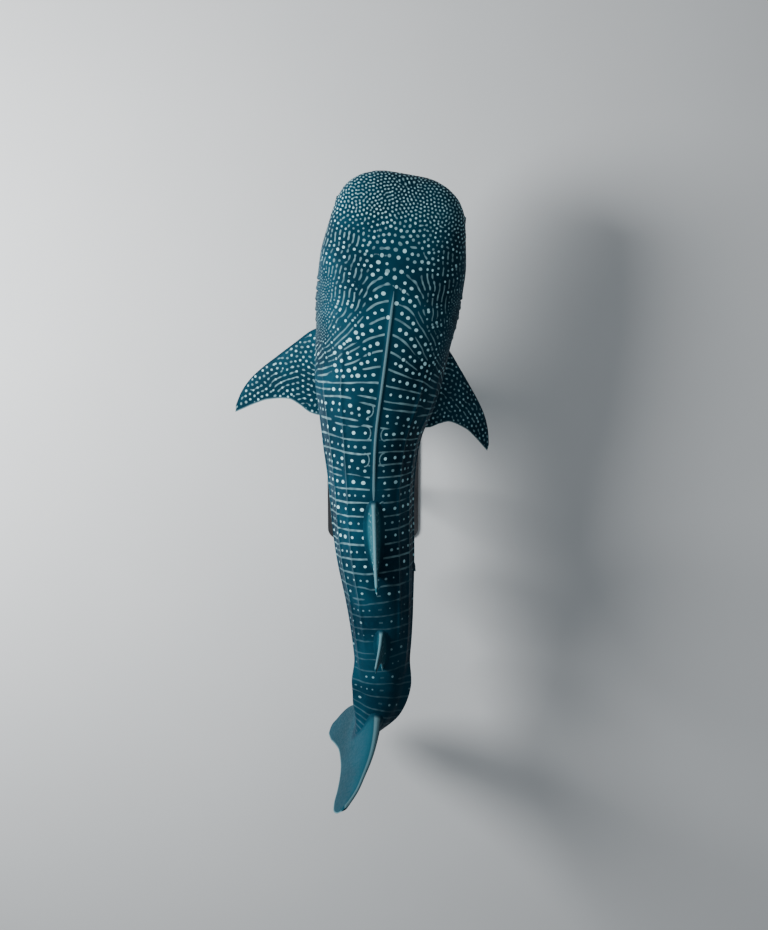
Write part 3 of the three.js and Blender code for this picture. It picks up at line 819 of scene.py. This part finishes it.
# Stations at which rows of bright spots leave the midline: at every second line on the nape, every
# fourth on the trunk, with weaker rows half way between those
NAPE_ROWS = [12.4, 14.5, 16.7, 18.9, 21.0, 23.2, 25.5, 27.9, 30.4]
TRUNK_ROWS = [33.0, 36.2, 39.9, 43.2, 46.9, 51.1, 55.6, 60.1, 64.6, 69.1, 73.6, 78.1]
WEAK_ROWS = [(low + high) / 2 for low, high in zip(TRUNK_ROWS, TRUNK_ROWS[1:])]
ROWS = [
    {"stations": NAPE_ROWS, "spacing": 1.08, "reach": 7.5, "strength": 1.0, "clear": 0.5},
    {"stations": TRUNK_ROWS, "spacing": 1.45, "reach": 15.5, "strength": 1.0, "clear": 0.40},
    {"stations": WEAK_ROWS, "spacing": 1.1, "reach": 15.5, "strength": 0.55, "clear": 0.40},
]

# Value of the grown pattern where no mark may stand, and strength of the noise it grows out of
BARE = -2.0
NOISE = 0.35

# Spacing of the marks on each part of the body
SPACING = {"snout": 0.52, "crown": 1.14, "cheek": 0.78, "gills": 0.40, "trunk": 0.95}


def line_phase(s):
    """Counts the lines along the midline, whole numbers lying on the lines."""
    rows = NAPE_ROWS + TRUNK_ROWS
    counts = [2 * k for k in range(len(NAPE_ROWS))]
    counts += [counts[-1] + 3 + 4 * k for k in range(len(TRUNK_ROWS))]
    return np.interp(s, rows, counts)


def spacing_rule(s, out):
    """Spacing of the marks, with the shares of the gills' field and of the trunk."""
    centre = SPACING["snout"] + (SPACING["crown"] - SPACING["snout"]) * smooth_step((s - 4) / 9)
    flank = SPACING["snout"] + (SPACING["cheek"] - SPACING["snout"]) * smooth_step((s - 4) / 8)
    wave = centre + (flank - centre) * smooth_step((out - 1.2) / 3.5)
    gills = smooth_step((s - 12.5) / 4) * smooth_step((out - 7.5) / 2.0) * smooth_step((26.5 - s) / 3)
    wave += (SPACING["gills"] - wave) * gills
    trunk = smooth_step((s - 24) / 7)
    wave += (SPACING["trunk"] - wave) * trunk
    return wave, gills, trunk


def line_rule(s, a, gills, trunk):
    """Direction of the lines in degrees, their share among spots, and their sweep back from the midline."""
    out = np.abs(a)
    lengthways = smooth_step((out - 1.5) / 3.5) * smooth_step((s - 5) / 4)
    lengthways = lengthways * smooth_step((22 + 0.25 * out - s) / 6)
    sweep = (14 + 34 * smooth_step(out / 5)) * smooth_step((s - 9) / 6) * smooth_step((33 - s) / 10)
    turn = np.sign(a) * (sweep * (1 - lengthways) + 80 * lengthways)
    stretch = 0.19 * smooth_step((s - 6) / 5) * smooth_step((out - 1) / 3) + 0.16 * smooth_step((s - 13) / 6)
    stretch += 0.22 * smooth_step((s - 27) / 5)
    return turn, stretch * (1 - 0.85 * gills * (1 - trunk)), sweep


def first_state(s, out, sweep):
    """Noise, with a start of the lines that cross the nape and the trunk."""
    midline = s - np.tan(np.radians(sweep)) * out * 0.72
    wander = soft_noise(s.shape, 26, -0.36, 0.36) + soft_noise(s.shape, 11, -0.22, 0.22)
    seeded = smooth_step((s - 14.5) / 3) * np.where(s > 28, 1, smooth_step((5.5 - out) / 2))
    return rng.normal(0, NOISE, s.shape) + 0.8 * seeded * np.cos(2 * np.pi * line_phase(midline + wander))


def line_level(s, front, gills, trunk):
    """How high the grown pattern has to stand to show, with gaps in the lines of the trunk."""
    level = 0.92 - 0.12 * front - 0.15 * gills - 0.04 * trunk
    gaps = smooth_step((s - 26) / 6) * soft_noise(s.shape, 14, -0.7, 0.9)
    gaps += soft_noise(s.shape, 7, -0.15, 0.15)
    return level + 0.8 * np.clip(gaps, 0, 1) * (1 - 0.4 * smooth_step((s - 52) / 10))


def line_tone(s, front):
    """Strength of the lines, weaker towards the tail."""
    tone = 0.26 + 0.16 * front + soft_noise(s.shape, 6, -0.14, 0.14)
    return np.clip(tone * (1 - 0.80 * smooth_step((s - 50) / 14)), 0.03, 1)


# The body's chart from the snout to the tail and from belly to belly, and how far round it is shown
BODY_CHART = {"start": -2.0, "across": -17.76, "cell": 0.0925, "rows": 972, "columns": 384}
SHOWN_ROUND = 17.6
GROWTH_ROUNDS = 9


def body_chart():
    """The marks of the body: grown lines, rows of spots, spots of the head, midline and ridges."""
    chart = Chart(**BODY_CHART)
    s, a = chart.s, chart.a
    out = np.abs(a)
    wave, gills, trunk = spacing_rule(s, out)
    turn, stretch, sweep = line_rule(s, a, gills, trunk)
    grown = grow(chart.cell, wave, turn, stretch, first_state(s, out, sweep), GROWTH_ROUNDS)
    keep = np.ones(s.shape)
    for kind in ROWS:
        for station in kind["stations"]:
            for side in (1, -1):
                mark_row(chart, grown, turn, keep, kind, station, side)
    grown = np.where(keep > 0.5, grown, BARE)
    mark_head_spots(chart, grown, wave, gills, keep)
    front = 1 - smooth_step((s - 7) / 5)
    level = line_level(s, front, gills, trunk)
    chart.add_lines(np.where(keep > 0.5, grown, BARE), wave, level, line_tone(s, front))
    for station in TRUNK_ROWS[:6]:
        for side in (1, -1):
            if rng.rand() < BEND["share"]:
                bend_round(chart, station, side)
    mark_midline(chart)
    mark_ridges(chart)
    return chart


RIDGE_LINE = {"start": 29, "end": 62, "step": 0.06, "radius": 0.06, "tones": (0.10, 0.13, 0.30)}


def mark_ridges(chart):
    """Thin pale lines with gaps along the ridges of the flanks."""
    stations = np.arange(RIDGE_LINE["start"], RIDGE_LINE["end"], RIDGE_LINE["step"])
    for ridge, tone in zip(RIDGES[1:4], RIDGE_LINE["tones"]):
        first, second, _ = rng.uniform(0, 6, 3)
        for s, arc in zip(stations, ridge_arcs(ridge, half_rings(stations)[2])):
            if math.sin(0.9 * s + first) + math.sin(0.37 * s + second) < 0.9:
                for side in (1, -1):
                    chart.touch("mark", s, side * float(arc), RIDGE_LINE["radius"], tone)


BEND = {"share": 0.45, "middle": 1.35, "across": 0.62, "along": 0.93, "radius": 0.075, "tone": 0.30}


def bend_round(chart, row, side):
    """A line that turns round the inner end of a row, beside the midline."""
    for angle in np.linspace(-np.pi / 2, np.pi / 2, 24):
        out = BEND["middle"] - BEND["across"] * math.cos(angle)
        s = row + BEND["along"] * math.sin(angle)
        chart.touch("mark", s, side * out, BEND["radius"], BEND["tone"])


def row_path(chart, grown, turn, row, reach, side):
    """Follows the grown line nearest to the start of a row, out from the midline."""
    middle = int(-chart.origin[1] / chart.cell)
    place = (row - chart.origin[0]) / chart.cell
    path = []
    for k in range(int(0.3 / chart.cell), int(reach / chart.cell)):
        j = middle + side * k
        place += math.tan(math.radians(abs(float(turn[min(int(place), len(turn) - 1), j]))))
        i = int(round(place))
        if i > len(turn) - 4 or abs(turn[i, j]) > 62:
            break
        window = grown[i - 2:i + 3, j]
        place += 0.5 * (int(window.argmax()) - 2)
        path.append((chart.origin[0] + place * chart.cell, chart.a[0, j], i, j))
    return path


ROW_SPOT_RADIUS = (0.17, 0.27)
ROW_SPOT_TONE = (0.8, 1.0)


def row_spot(chart, s, a, strength, fade):
    """One spot of a row, smaller and dimmer down the flank and towards the tail."""
    flank = float(smooth_step((abs(a) - 6) / 8))
    radius = rng.uniform(*ROW_SPOT_RADIUS) * (0.55 + 0.45 * strength) * (0.7 + 0.3 * fade) * (1 - 0.2 * flank)
    tone = rng.uniform(*ROW_SPOT_TONE) * strength * (0.1 + 0.9 * fade) * (1 - 0.35 * flank)
    chart.touch("spot", s, a, radius, tone, rng.uniform(0.9, 1.25))


def mark_row(chart, grown, turn, keep, kind, row, side):
    """A row of spots on the line nearest to it, with the other marks kept clear of it."""
    spacing = kind["spacing"]
    path = row_path(chart, grown, turn, row, kind["reach"], side)
    fade = float(1 - 0.7 * smooth_step((row - 53) / 12))
    travelled = 0.0
    following = 0.8 + 0.2 * spacing + rng.uniform(0, 0.25)
    half = int(kind["clear"] / chart.cell)
    for (s, a, i, j), (before, away, _, _) in zip(path[1:], path):
        keep[max(i - half, 0):i + half + 1, j] = 0
        travelled += math.hypot(s - before, a - away)
        if travelled < following:
            continue
        following += spacing * rng.uniform(0.75, 1.3)
        if rng.rand() <= 0.45 + 0.5 * fade:
            row_spot(chart, s, a, kind["strength"], fade)


def peaks_of(grown, level):
    """Cells of a chart that are higher than their eight neighbours."""
    middle = grown[1:-1, 1:-1]
    highest = middle > level
    for down in (0, 1, 2):
        for across in (0, 1, 2):
            near = grown[down:down + middle.shape[0], across:across + middle.shape[1]]
            highest &= middle >= near
    return np.argwhere(highest) + 1


# The head's spots end at the first station; the crown reaches out to its half width between two stations
HEAD_SPOTS_END = 27
CROWN = {"start": 7, "end": 14, "half_width": 5.0}
SPOT_SHARES = {"nape": 0.12, "snout": 0.8, "cheek": 0.42}


def mark_head_spots(chart, grown, wave, gills, keep):
    """Round spots where the grown pattern of the head peaks, each in a gap of the lines."""
    for i, j in peaks_of(grown, 1.2):
        s, near = chart.s[i, j], abs(chart.a[i, j]) < CROWN["half_width"]
        if s > HEAD_SPOTS_END or (s > CROWN["end"] and near and rng.rand() > SPOT_SHARES["nape"]):
            continue
        crown = CROWN["start"] < s <= CROWN["end"] and near
        if rng.rand() > SPOT_SHARES["snout" if s < 9 or crown else "cheek"]:
            continue
        size = float(wave[i, j]) * (1.12 if crown else 1)
        fine = gills[i, j]
        bright = rng.uniform(0.22, 1.0)
        radius = size * rng.uniform(0.19, 0.25) * (0.85 + 0.2 * bright) * (1 - 0.15 * fine)
        tone = bright * (1 - 0.35 * fine)
        chart.touch("spot", s, chart.a[i, j], radius, tone, rng.uniform(0.85, 1.1))
        half = int(0.55 * size / chart.cell)
        if s > CROWN["start"]:
            keep[i - half:i + half + 1, max(j - half // 2, 0):j + half // 2 + 1] = 0


MIDLINE = {"half_width": 0.17, "start": 15.5, "end": 47, "clear": 0.55, "tone": 0.22}


def mark_midline(chart):
    """A pale strip along the back, from the nape to the first dorsal fin."""
    fade = smooth_step((chart.s - MIDLINE["start"]) / 4) * smooth_step((MIDLINE["end"] - chart.s) / 3)
    width = MIDLINE["half_width"] * fade
    gap = (width - np.abs(chart.a)) * MILLIMETRES
    strip = (np.abs(chart.a) < MIDLINE["clear"]) & (width > 0.02)
    chart.layers["mark"][strip] = gap[strip]
    chart.layers["mark_tone"][strip] = MIDLINE["tone"]


# Marks of the fins: spacing, reach along the span, plain band in front, level and strength of the pattern,
# share of its peaks that carry a spot, and share of lines
FIN_MARKS = {
    "pectoral": {
        "shape": PECTORAL, "wave": 0.80, "reach": (-0.5, 13.4), "band": 0.6, "level": 1.12,
        "tone": 0.34, "spots": 0.5, "lines": 0.09,
    },
    "first_dorsal": {
        "shape": FIRST_DORSAL, "wave": 0.80, "reach": (4.8, 15.6), "band": 0.5, "level": 1.15,
        "tone": 0.20, "spots": 0.4, "lines": 0.15,
    },
    "second_dorsal": {
        "shape": SECOND_DORSAL, "wave": 0.7, "reach": (2.4, 8.0), "band": 0.4, "level": 1.3,
        "tone": 0.12, "spots": 0.25, "lines": 0.15,
    },
}
FIN_CELL = 0.09
FIN_GROWTH_ROUNDS = 8


def cells(low, high):
    """A number of cells that covers a stretch of a fin's chart, in fours."""
    return 4 * (int((high - low) / FIN_CELL) // 4 + 1)


def fin_chart(shape, wave, reach, band, level, tone, spots, lines):
    """Spots and short lines over a fin, with a plain band along its front edge."""
    low, high = reach
    first = min(value for _, value in shape["lead"]) - 1
    last = max(value for _, value in shape["trail"]) + 1
    chart = Chart(first, low, FIN_CELL, cells(first, last), cells(low, high))
    lead = through(shape["lead"])(chart.a[0])[None]
    trail = through(shape["trail"])(chart.a[0])[None]
    waves = np.full(chart.s.shape, wave)
    slant = np.degrees(np.arctan(np.gradient((lead + trail)[0], FIN_CELL) / 2))
    turn = slant[None] + np.zeros(waves.shape)
    noise = rng.normal(0, NOISE, waves.shape)
    grown = grow(FIN_CELL, waves, turn, np.full(waves.shape, lines), noise, FIN_GROWTH_ROUNDS)
    inside = (chart.s > lead + band) & (chart.s < trail - 0.25)
    grown = np.where(inside, grown, BARE)
    chart.add_lines(grown, waves, level, tone * soft_noise(grown.shape, 12, 0.7, 1.1))
    for i, j in peaks_of(grown, 1.0):
        if rng.rand() < spots:
            radius = wave * rng.uniform(0.15, 0.23)
            chart.touch("spot", chart.s[i, j], chart.a[i, j], radius, tone * rng.uniform(1.3, 2.2))
    return chart


def mark_fins(parts):
    """Marks the upper faces of the pectoral fins and both faces of the dorsal fins."""
    for name in ("pectoral_left", "pectoral_right", "first_dorsal", "second_dorsal"):
        patch, upper, beyond = parts[name]
        on_pectoral = name.startswith("pectoral")
        chart = fin_chart(**FIN_MARKS["pectoral" if on_pectoral else name])
        shown = beyond > 0.4
        patch.take_marks(chart, shown & upper if on_pectoral else shown)


# The skin's mesh

def build_mesh(name, points, quads, corners, fields):
    mesh = bpy.data.meshes.new(name)
    mesh.vertices.add(len(points))
    mesh.vertices.foreach_set("co", points.astype(np.float32).ravel())
    mesh.loops.add(quads.size)
    mesh.loops.foreach_set("vertex_index", quads.astype(np.int32).ravel())
    mesh.polygons.add(len(quads))
    mesh.polygons.foreach_set("loop_start", np.arange(0, quads.size, 4, dtype=np.int32))
    mesh.polygons.foreach_set("loop_total", np.full(len(quads), 4, dtype=np.int32))
    mesh.polygons.foreach_set("use_smooth", np.ones(len(quads), dtype=bool))
    mesh.update(calc_edges=True)
    layer = mesh.uv_layers.new(name="OFBake")
    layer.data.foreach_set("uv", corners.astype(np.float32).ravel())
    for field, values in fields.items():
        attribute = mesh.attributes.new(field, "FLOAT", "POINT")
        attribute.data.foreach_set("value", values.astype(np.float32).ravel())
    return put_in_scene(name, mesh)


def join_patches(name, patches):
    points, quads, corners = [], [], []
    fields = {}
    count = 0
    for patch in patches:
        flat = patch.world.reshape(-1, 3)
        faces = tube_quads(*patch.world.shape[:2])
        way = facing(flat, faces, flat.mean(axis=0))
        quads.append(faces[:, ::way] + count)
        corners.append(patch.corners()[:, ::way])
        points.append(flat)
        for field, values in patch.fields.items():
            fields.setdefault(field, []).append(values.reshape(-1))
        count += len(flat)
    merged = {field: np.concatenate(values) for field, values in fields.items()}
    points, quads, corners = (np.concatenate(values) for values in (points, quads, corners))
    return build_mesh(name, points, quads, corners, merged)


# Materials

class Nodes:
    """Wires the nodes of one material."""

    def __init__(self, name):
        self.material = bpy.data.materials.new(name)
        self.material.use_nodes = True
        self.tree = self.material.node_tree
        self.shader = self.tree.nodes["Principled BSDF"]

    def feed(self, node, name, source):
        """Gives an input of a node its number or colour, or links it to another node's output."""
        if isinstance(source, bpy.types.NodeSocket):
            self.tree.links.new(source, node.inputs[name])
        else:
            node.inputs[name].default_value = (*source, 1) if isinstance(source, tuple) else source

    def add(self, kind, inputs, output, **settings):
        node = self.tree.nodes.new("ShaderNode" + kind)
        for key, value in settings.items():
            setattr(node, key, value)
        for name, source in inputs.items():
            self.feed(node, name, source)
        return node.outputs[output]

    def math(self, operation, first, second):
        return self.add("Math", {0: first, 1: second}, 0, operation=operation)

    def field(self, name):
        return self.add("Attribute", {}, "Fac", attribute_name=name)

    def noise(self, scale, detail=3.0, roughness=0.5):
        place = self.add("TexCoord", {}, "Object")
        inputs = {"Vector": place, "Scale": scale, "Detail": detail, "Roughness": roughness}
        return self.add("TexNoise", inputs, "Fac")

    def band(self, source, low, high, out_low=0.0, out_high=1.0):
        """A smooth step from one value to another while the source goes from low to high."""
        inputs = {"Value": source, "From Min": low, "From Max": high, "To Min": out_low, "To Max": out_high}
        return self.add("MapRange", inputs, "Result", interpolation_type="SMOOTHSTEP")

    def mix(self, share, first, second):
        return self.add("Mix", {0: share, 6: first, 7: second}, 2, data_type="RGBA")

    def shade(self, name, source):
        self.feed(self.shader, name, source)

    def roughness(self, scale, low, high):
        self.shade("Roughness", self.band(self.noise(scale, 3), 0.3, 0.7, low, high))

    def relief(self, height, strength, distance):
        inputs = {"Strength": strength, "Distance": distance, "Height": height}
        self.shade("Normal", self.add("Bump", inputs, "Normal"))


SKIN_DARK = (0.0022, 0.017, 0.031)
SKIN_LIGHT = (0.005, 0.036, 0.060)
# Painted light: the paler colour of the upright fins, standing in for light on their faces
FIN_PAINTED_LIGHT = (0.026, 0.135, 0.170)
MARK_PALE = (0.40, 0.72, 0.78)
BELLY_WHITE = (0.62, 0.70, 0.71)
# Painted shade inside the mouth, the gill slits, the spiracles and the nostrils, and faintly on the lids
PAINTED_SHADE = (0.012, 0.016, 0.020)
SHEEN_TINT = (0.30, 0.78, 1.0)


def skin_base(n, mottle):
    """The dark of the back, with painted light: paler on some fins and along their rims."""
    base = n.mix(n.band(n.noise(2.2, 4), 0.35, 0.68), SKIN_DARK, SKIN_LIGHT)
    base = n.mix(n.band(mottle, 0.45, 0.75, 0.0, 0.35), base, SKIN_LIGHT)
    # Painted light: paler upright fins, and pale rims along the fins' edges
    base = n.mix(n.math("MULTIPLY", n.field("pale"), 0.8), base, FIN_PAINTED_LIGHT)
    rim = n.math("MULTIPLY", n.band(n.field("rim"), 17.0, 3.0), n.field("edge_light_tone"))
    return n.mix(rim, base, MARK_PALE)


def marked(n, colour, kind, wobble, share):
    """Adds the lines or the spots, with a soft edge that wavers by a share of the wobble."""
    edge = n.math("ADD", n.field(kind), n.math("MULTIPLY", wobble, share))
    tone = n.math("MULTIPLY", n.band(edge, -3.0, 2.5), n.field(kind + "_tone"))
    return n.mix(tone, colour, MARK_PALE)


def skin_material():
    n = Nodes("shark_skin")
    mottle = n.noise(26, 4, 0.6)
    wobble = n.math("MULTIPLY", n.math("SUBTRACT", n.noise(60, 2), 0.5), 7.0)
    colour = marked(n, skin_base(n, mottle), "mark", wobble, 0.4)
    colour = marked(n, colour, "spot", wobble, 0.5)
    ragged = n.math("MULTIPLY", n.math("SUBTRACT", n.noise(11, 5, 0.65), 0.5), 190.0)
    white = n.band(n.math("ADD", n.field("white"), ragged), -30.0, 34.0)
    colour = n.mix(n.math("MULTIPLY", white, 0.94), colour, BELLY_WHITE)
    # Painted shade: the dark field darkens the mouth, gill slits, spiracles, nostrils and, faintly, the lids
    n.shade("Base Color", n.mix(n.band(n.field("dark"), 0.15, 0.9), colour, PAINTED_SHADE))
    n.roughness(38, 0.48, 0.64)
    n.shade("Specular IOR Level", 0.09)
    n.shade("Specular Tint", SHEEN_TINT)
    grain = n.math("MULTIPLY", n.noise(240, 2, 0.6), 0.5)
    n.relief(n.math("ADD", grain, n.math("MULTIPLY", mottle, 0.8)), 0.30, 0.004)
    return n.material


def eye_material():
    """Black pupil, grey iris and dark outer ring, by the angle from the eye's axis in degrees."""
    n = Nodes("shark_eye")
    angle = n.field("angle")
    iris = n.mix(n.noise(420, 4, 0.7), (0.028, 0.034, 0.038), (0.12, 0.13, 0.125))
    outer = n.mix(n.noise(150, 2), (0.010, 0.014, 0.018), (0.030, 0.038, 0.044))
    colour = n.mix(n.band(angle, 14.0, 16.5), (0.002, 0.002, 0.003), iris)
    n.shade("Base Color", n.mix(n.band(angle, 33.0, 39.0), colour, outer))
    n.shade("Roughness", 0.07)
    n.shade("Coat Weight", 0.6)
    return n.material


def stand_material():
    n = Nodes("stand_paint")
    clouds = n.band(n.noise(5, 4), 0.3, 0.7)
    n.shade("Base Color", n.mix(clouds, (0.020, 0.022, 0.025), (0.032, 0.034, 0.038)))
    n.roughness(90, 0.34, 0.48)
    n.shade("Metallic", 0.25)
    n.relief(n.noise(700, 2), 0.12, 0.001)
    return n.material


def floor_material():
    n = Nodes("studio_floor")
    n.shade("Base Color", n.mix(n.noise(0.8, 3), (0.60, 0.62, 0.63), (0.64, 0.66, 0.67)))
    n.shade("Roughness", 0.75)
    return n.material


# Eyes

EYE_RINGS = 36
EYE_COLUMNS = 48


def make_eye(name, side, node, look):
    """An eyeball with its pupil bulging a little, set below the surface of the head."""
    place, forwards, upwards, outwards = eye_frame(side)
    middle = place - outwards * EYE_PLACE["inset"] * PERCENT
    tilt = np.linspace(0.02, math.pi - 0.02, EYE_RINGS)[:, None]
    turn = np.linspace(0, 2 * math.pi, EYE_COLUMNS, endpoint=False)[None]
    radius = EYE_RADIUS * 0.98 * (1 + 0.05 * bump(tilt, 0.42))
    points = middle + (np.cos(tilt) * radius)[..., None] * outwards
    points = points + (np.sin(tilt) * radius)[..., None] * circle(turn, forwards, upwards)
    points = points.reshape(-1, 3)
    quads = tube_quads(EYE_RINGS, EYE_COLUMNS)
    quads = quads[:, ::facing(points, quads, middle)]
    spread = 0.49 * tilt / math.pi
    uv = np.stack([0.5 + spread * np.cos(turn), 0.5 + spread * np.sin(turn)], -1).reshape(-1, 2)
    angle = np.repeat(np.degrees(tilt), EYE_COLUMNS)
    eye = build_mesh(name, points, quads, uv[quads], {"angle": angle})
    eye.data.materials.append(look)
    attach(eye, "root")
    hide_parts(node)


# Stage, light and camera

FLOOR_HALF = 60.0
FLOOR_DROP = 0.001
SKY = (0.86, 0.93, 1.0, 1)
SKY_STRENGTH = 0.25


def area_light(name, place, aim, size, power):
    lamp = bpy.data.lights.new(name, "AREA")
    lamp.shape = "DISK"
    lamp.size = size
    lamp.energy = power
    thing = put_in_scene(name, lamp)
    thing.location = place
    thing.rotation_euler = (Vector(aim) - Vector(place)).to_track_quat("-Z", "Y").to_euler()


def make_floor():
    mesh = bpy.data.meshes.new("studio_floor")
    corners = [(-1, -1), (1, -1), (1, 1), (-1, 1)]
    mesh.from_pydata([(x * FLOOR_HALF, y * FLOOR_HALF, 0) for x, y in corners], [], [(0, 1, 2, 3)])
    mesh.materials.append(floor_material())
    floor = put_in_scene("studio_floor", mesh)
    floor.location.z = -FLOOR_DROP


def make_light():
    """Pale surroundings, a strong soft light from the shark's left and a weak one from above."""
    world = bpy.data.worlds.new("studio")
    world.use_nodes = True
    background = world.node_tree.nodes["Background"]
    background.inputs["Color"].default_value = SKY
    background.inputs["Strength"].default_value = SKY_STRENGTH
    bpy.context.scene.world = world
    area_light("key_from_left", place=(7.8, -2.0, 6.2), aim=(0, 0.3, 1.3), size=4.0, power=1850)
    area_light("soft_from_above", place=(1.5, -3.5, 9.5), aim=(0, 0, 1.2), size=6.0, power=120)


CAMERA_DISTANCE = 9.4
CAMERA_TILT = 9.25
CAMERA_TARGET = (-0.123, 0.247, AXIS_HEIGHT)
FOCAL_PIXELS = 980
PHOTO_HEIGHT = 930
SENSOR = 36.0


def make_camera():
    """Looks down from above the shark's neck, with the head towards the top of the picture."""
    tilt = math.radians(CAMERA_TILT)
    target = Vector(CAMERA_TARGET)
    camera = bpy.data.cameras.new("photo_camera")
    camera.sensor_width = SENSOR
    camera.lens = SENSOR * FOCAL_PIXELS / PHOTO_HEIGHT
    camera.clip_end = 200
    thing = put_in_scene("photo_camera", camera)
    thing.location = target + CAMERA_DISTANCE * Vector((0, -math.sin(tilt), math.cos(tilt)))
    thing.rotation_euler = (-tilt, 0, math.pi)
    bpy.context.scene.camera = thing


FLESH_NODES = [
    "head", "lower_jaw", "trunk_front", "trunk_rear", "tail_front", "tail_stalk",
    "pectoral_fin_left", "pectoral_fin_right", "pelvic_fin_left", "pelvic_fin_right",
    "dorsal_fin_first", "dorsal_fin_second", "anal_fin", "caudal_fin_upper_lobe", "caudal_fin_lower_lobe",
]
STAND_NODES = ["stand_base", "stand_rod_front", "stand_rod_rear"]


def make_skin():
    """The whole skin as one piece: body, fins and lids, with all their marks."""
    body, clear_of_cap_edge = body_patch()
    parts = fins()
    body.take_marks(body_chart(), np.abs(body.flat[..., 1]) < SHOWN_ROUND)
    for name in ("mark_tone", "spot_tone"):
        body.fields[name] = body.fields[name] * clear_of_cap_edge
    mark_fins(parts)
    lids = [lid_patch("lid_left", 1), lid_patch("lid_right", -1)]
    skin = join_patches("skin", [body] + [part[0] for part in parts.values()] + lids)
    skin.data.materials.append(skin_material())
    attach(skin, "root")
    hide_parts(*FLESH_NODES)


def dress_stand():
    paint = stand_material()
    for name in STAND_NODES:
        node = frame["nodes"][name]
        if not node.material_slots:
            node.data.materials.append(paint)
        for slot in node.material_slots:
            slot.material = paint


make_camera()
make_floor()
make_light()
make_skin()
eye_look = eye_material()
make_eye("eyeball_left", 1, "eye_left", eye_look)
make_eye("eyeball_right", -1, "eye_right", eye_look)
dress_stand()
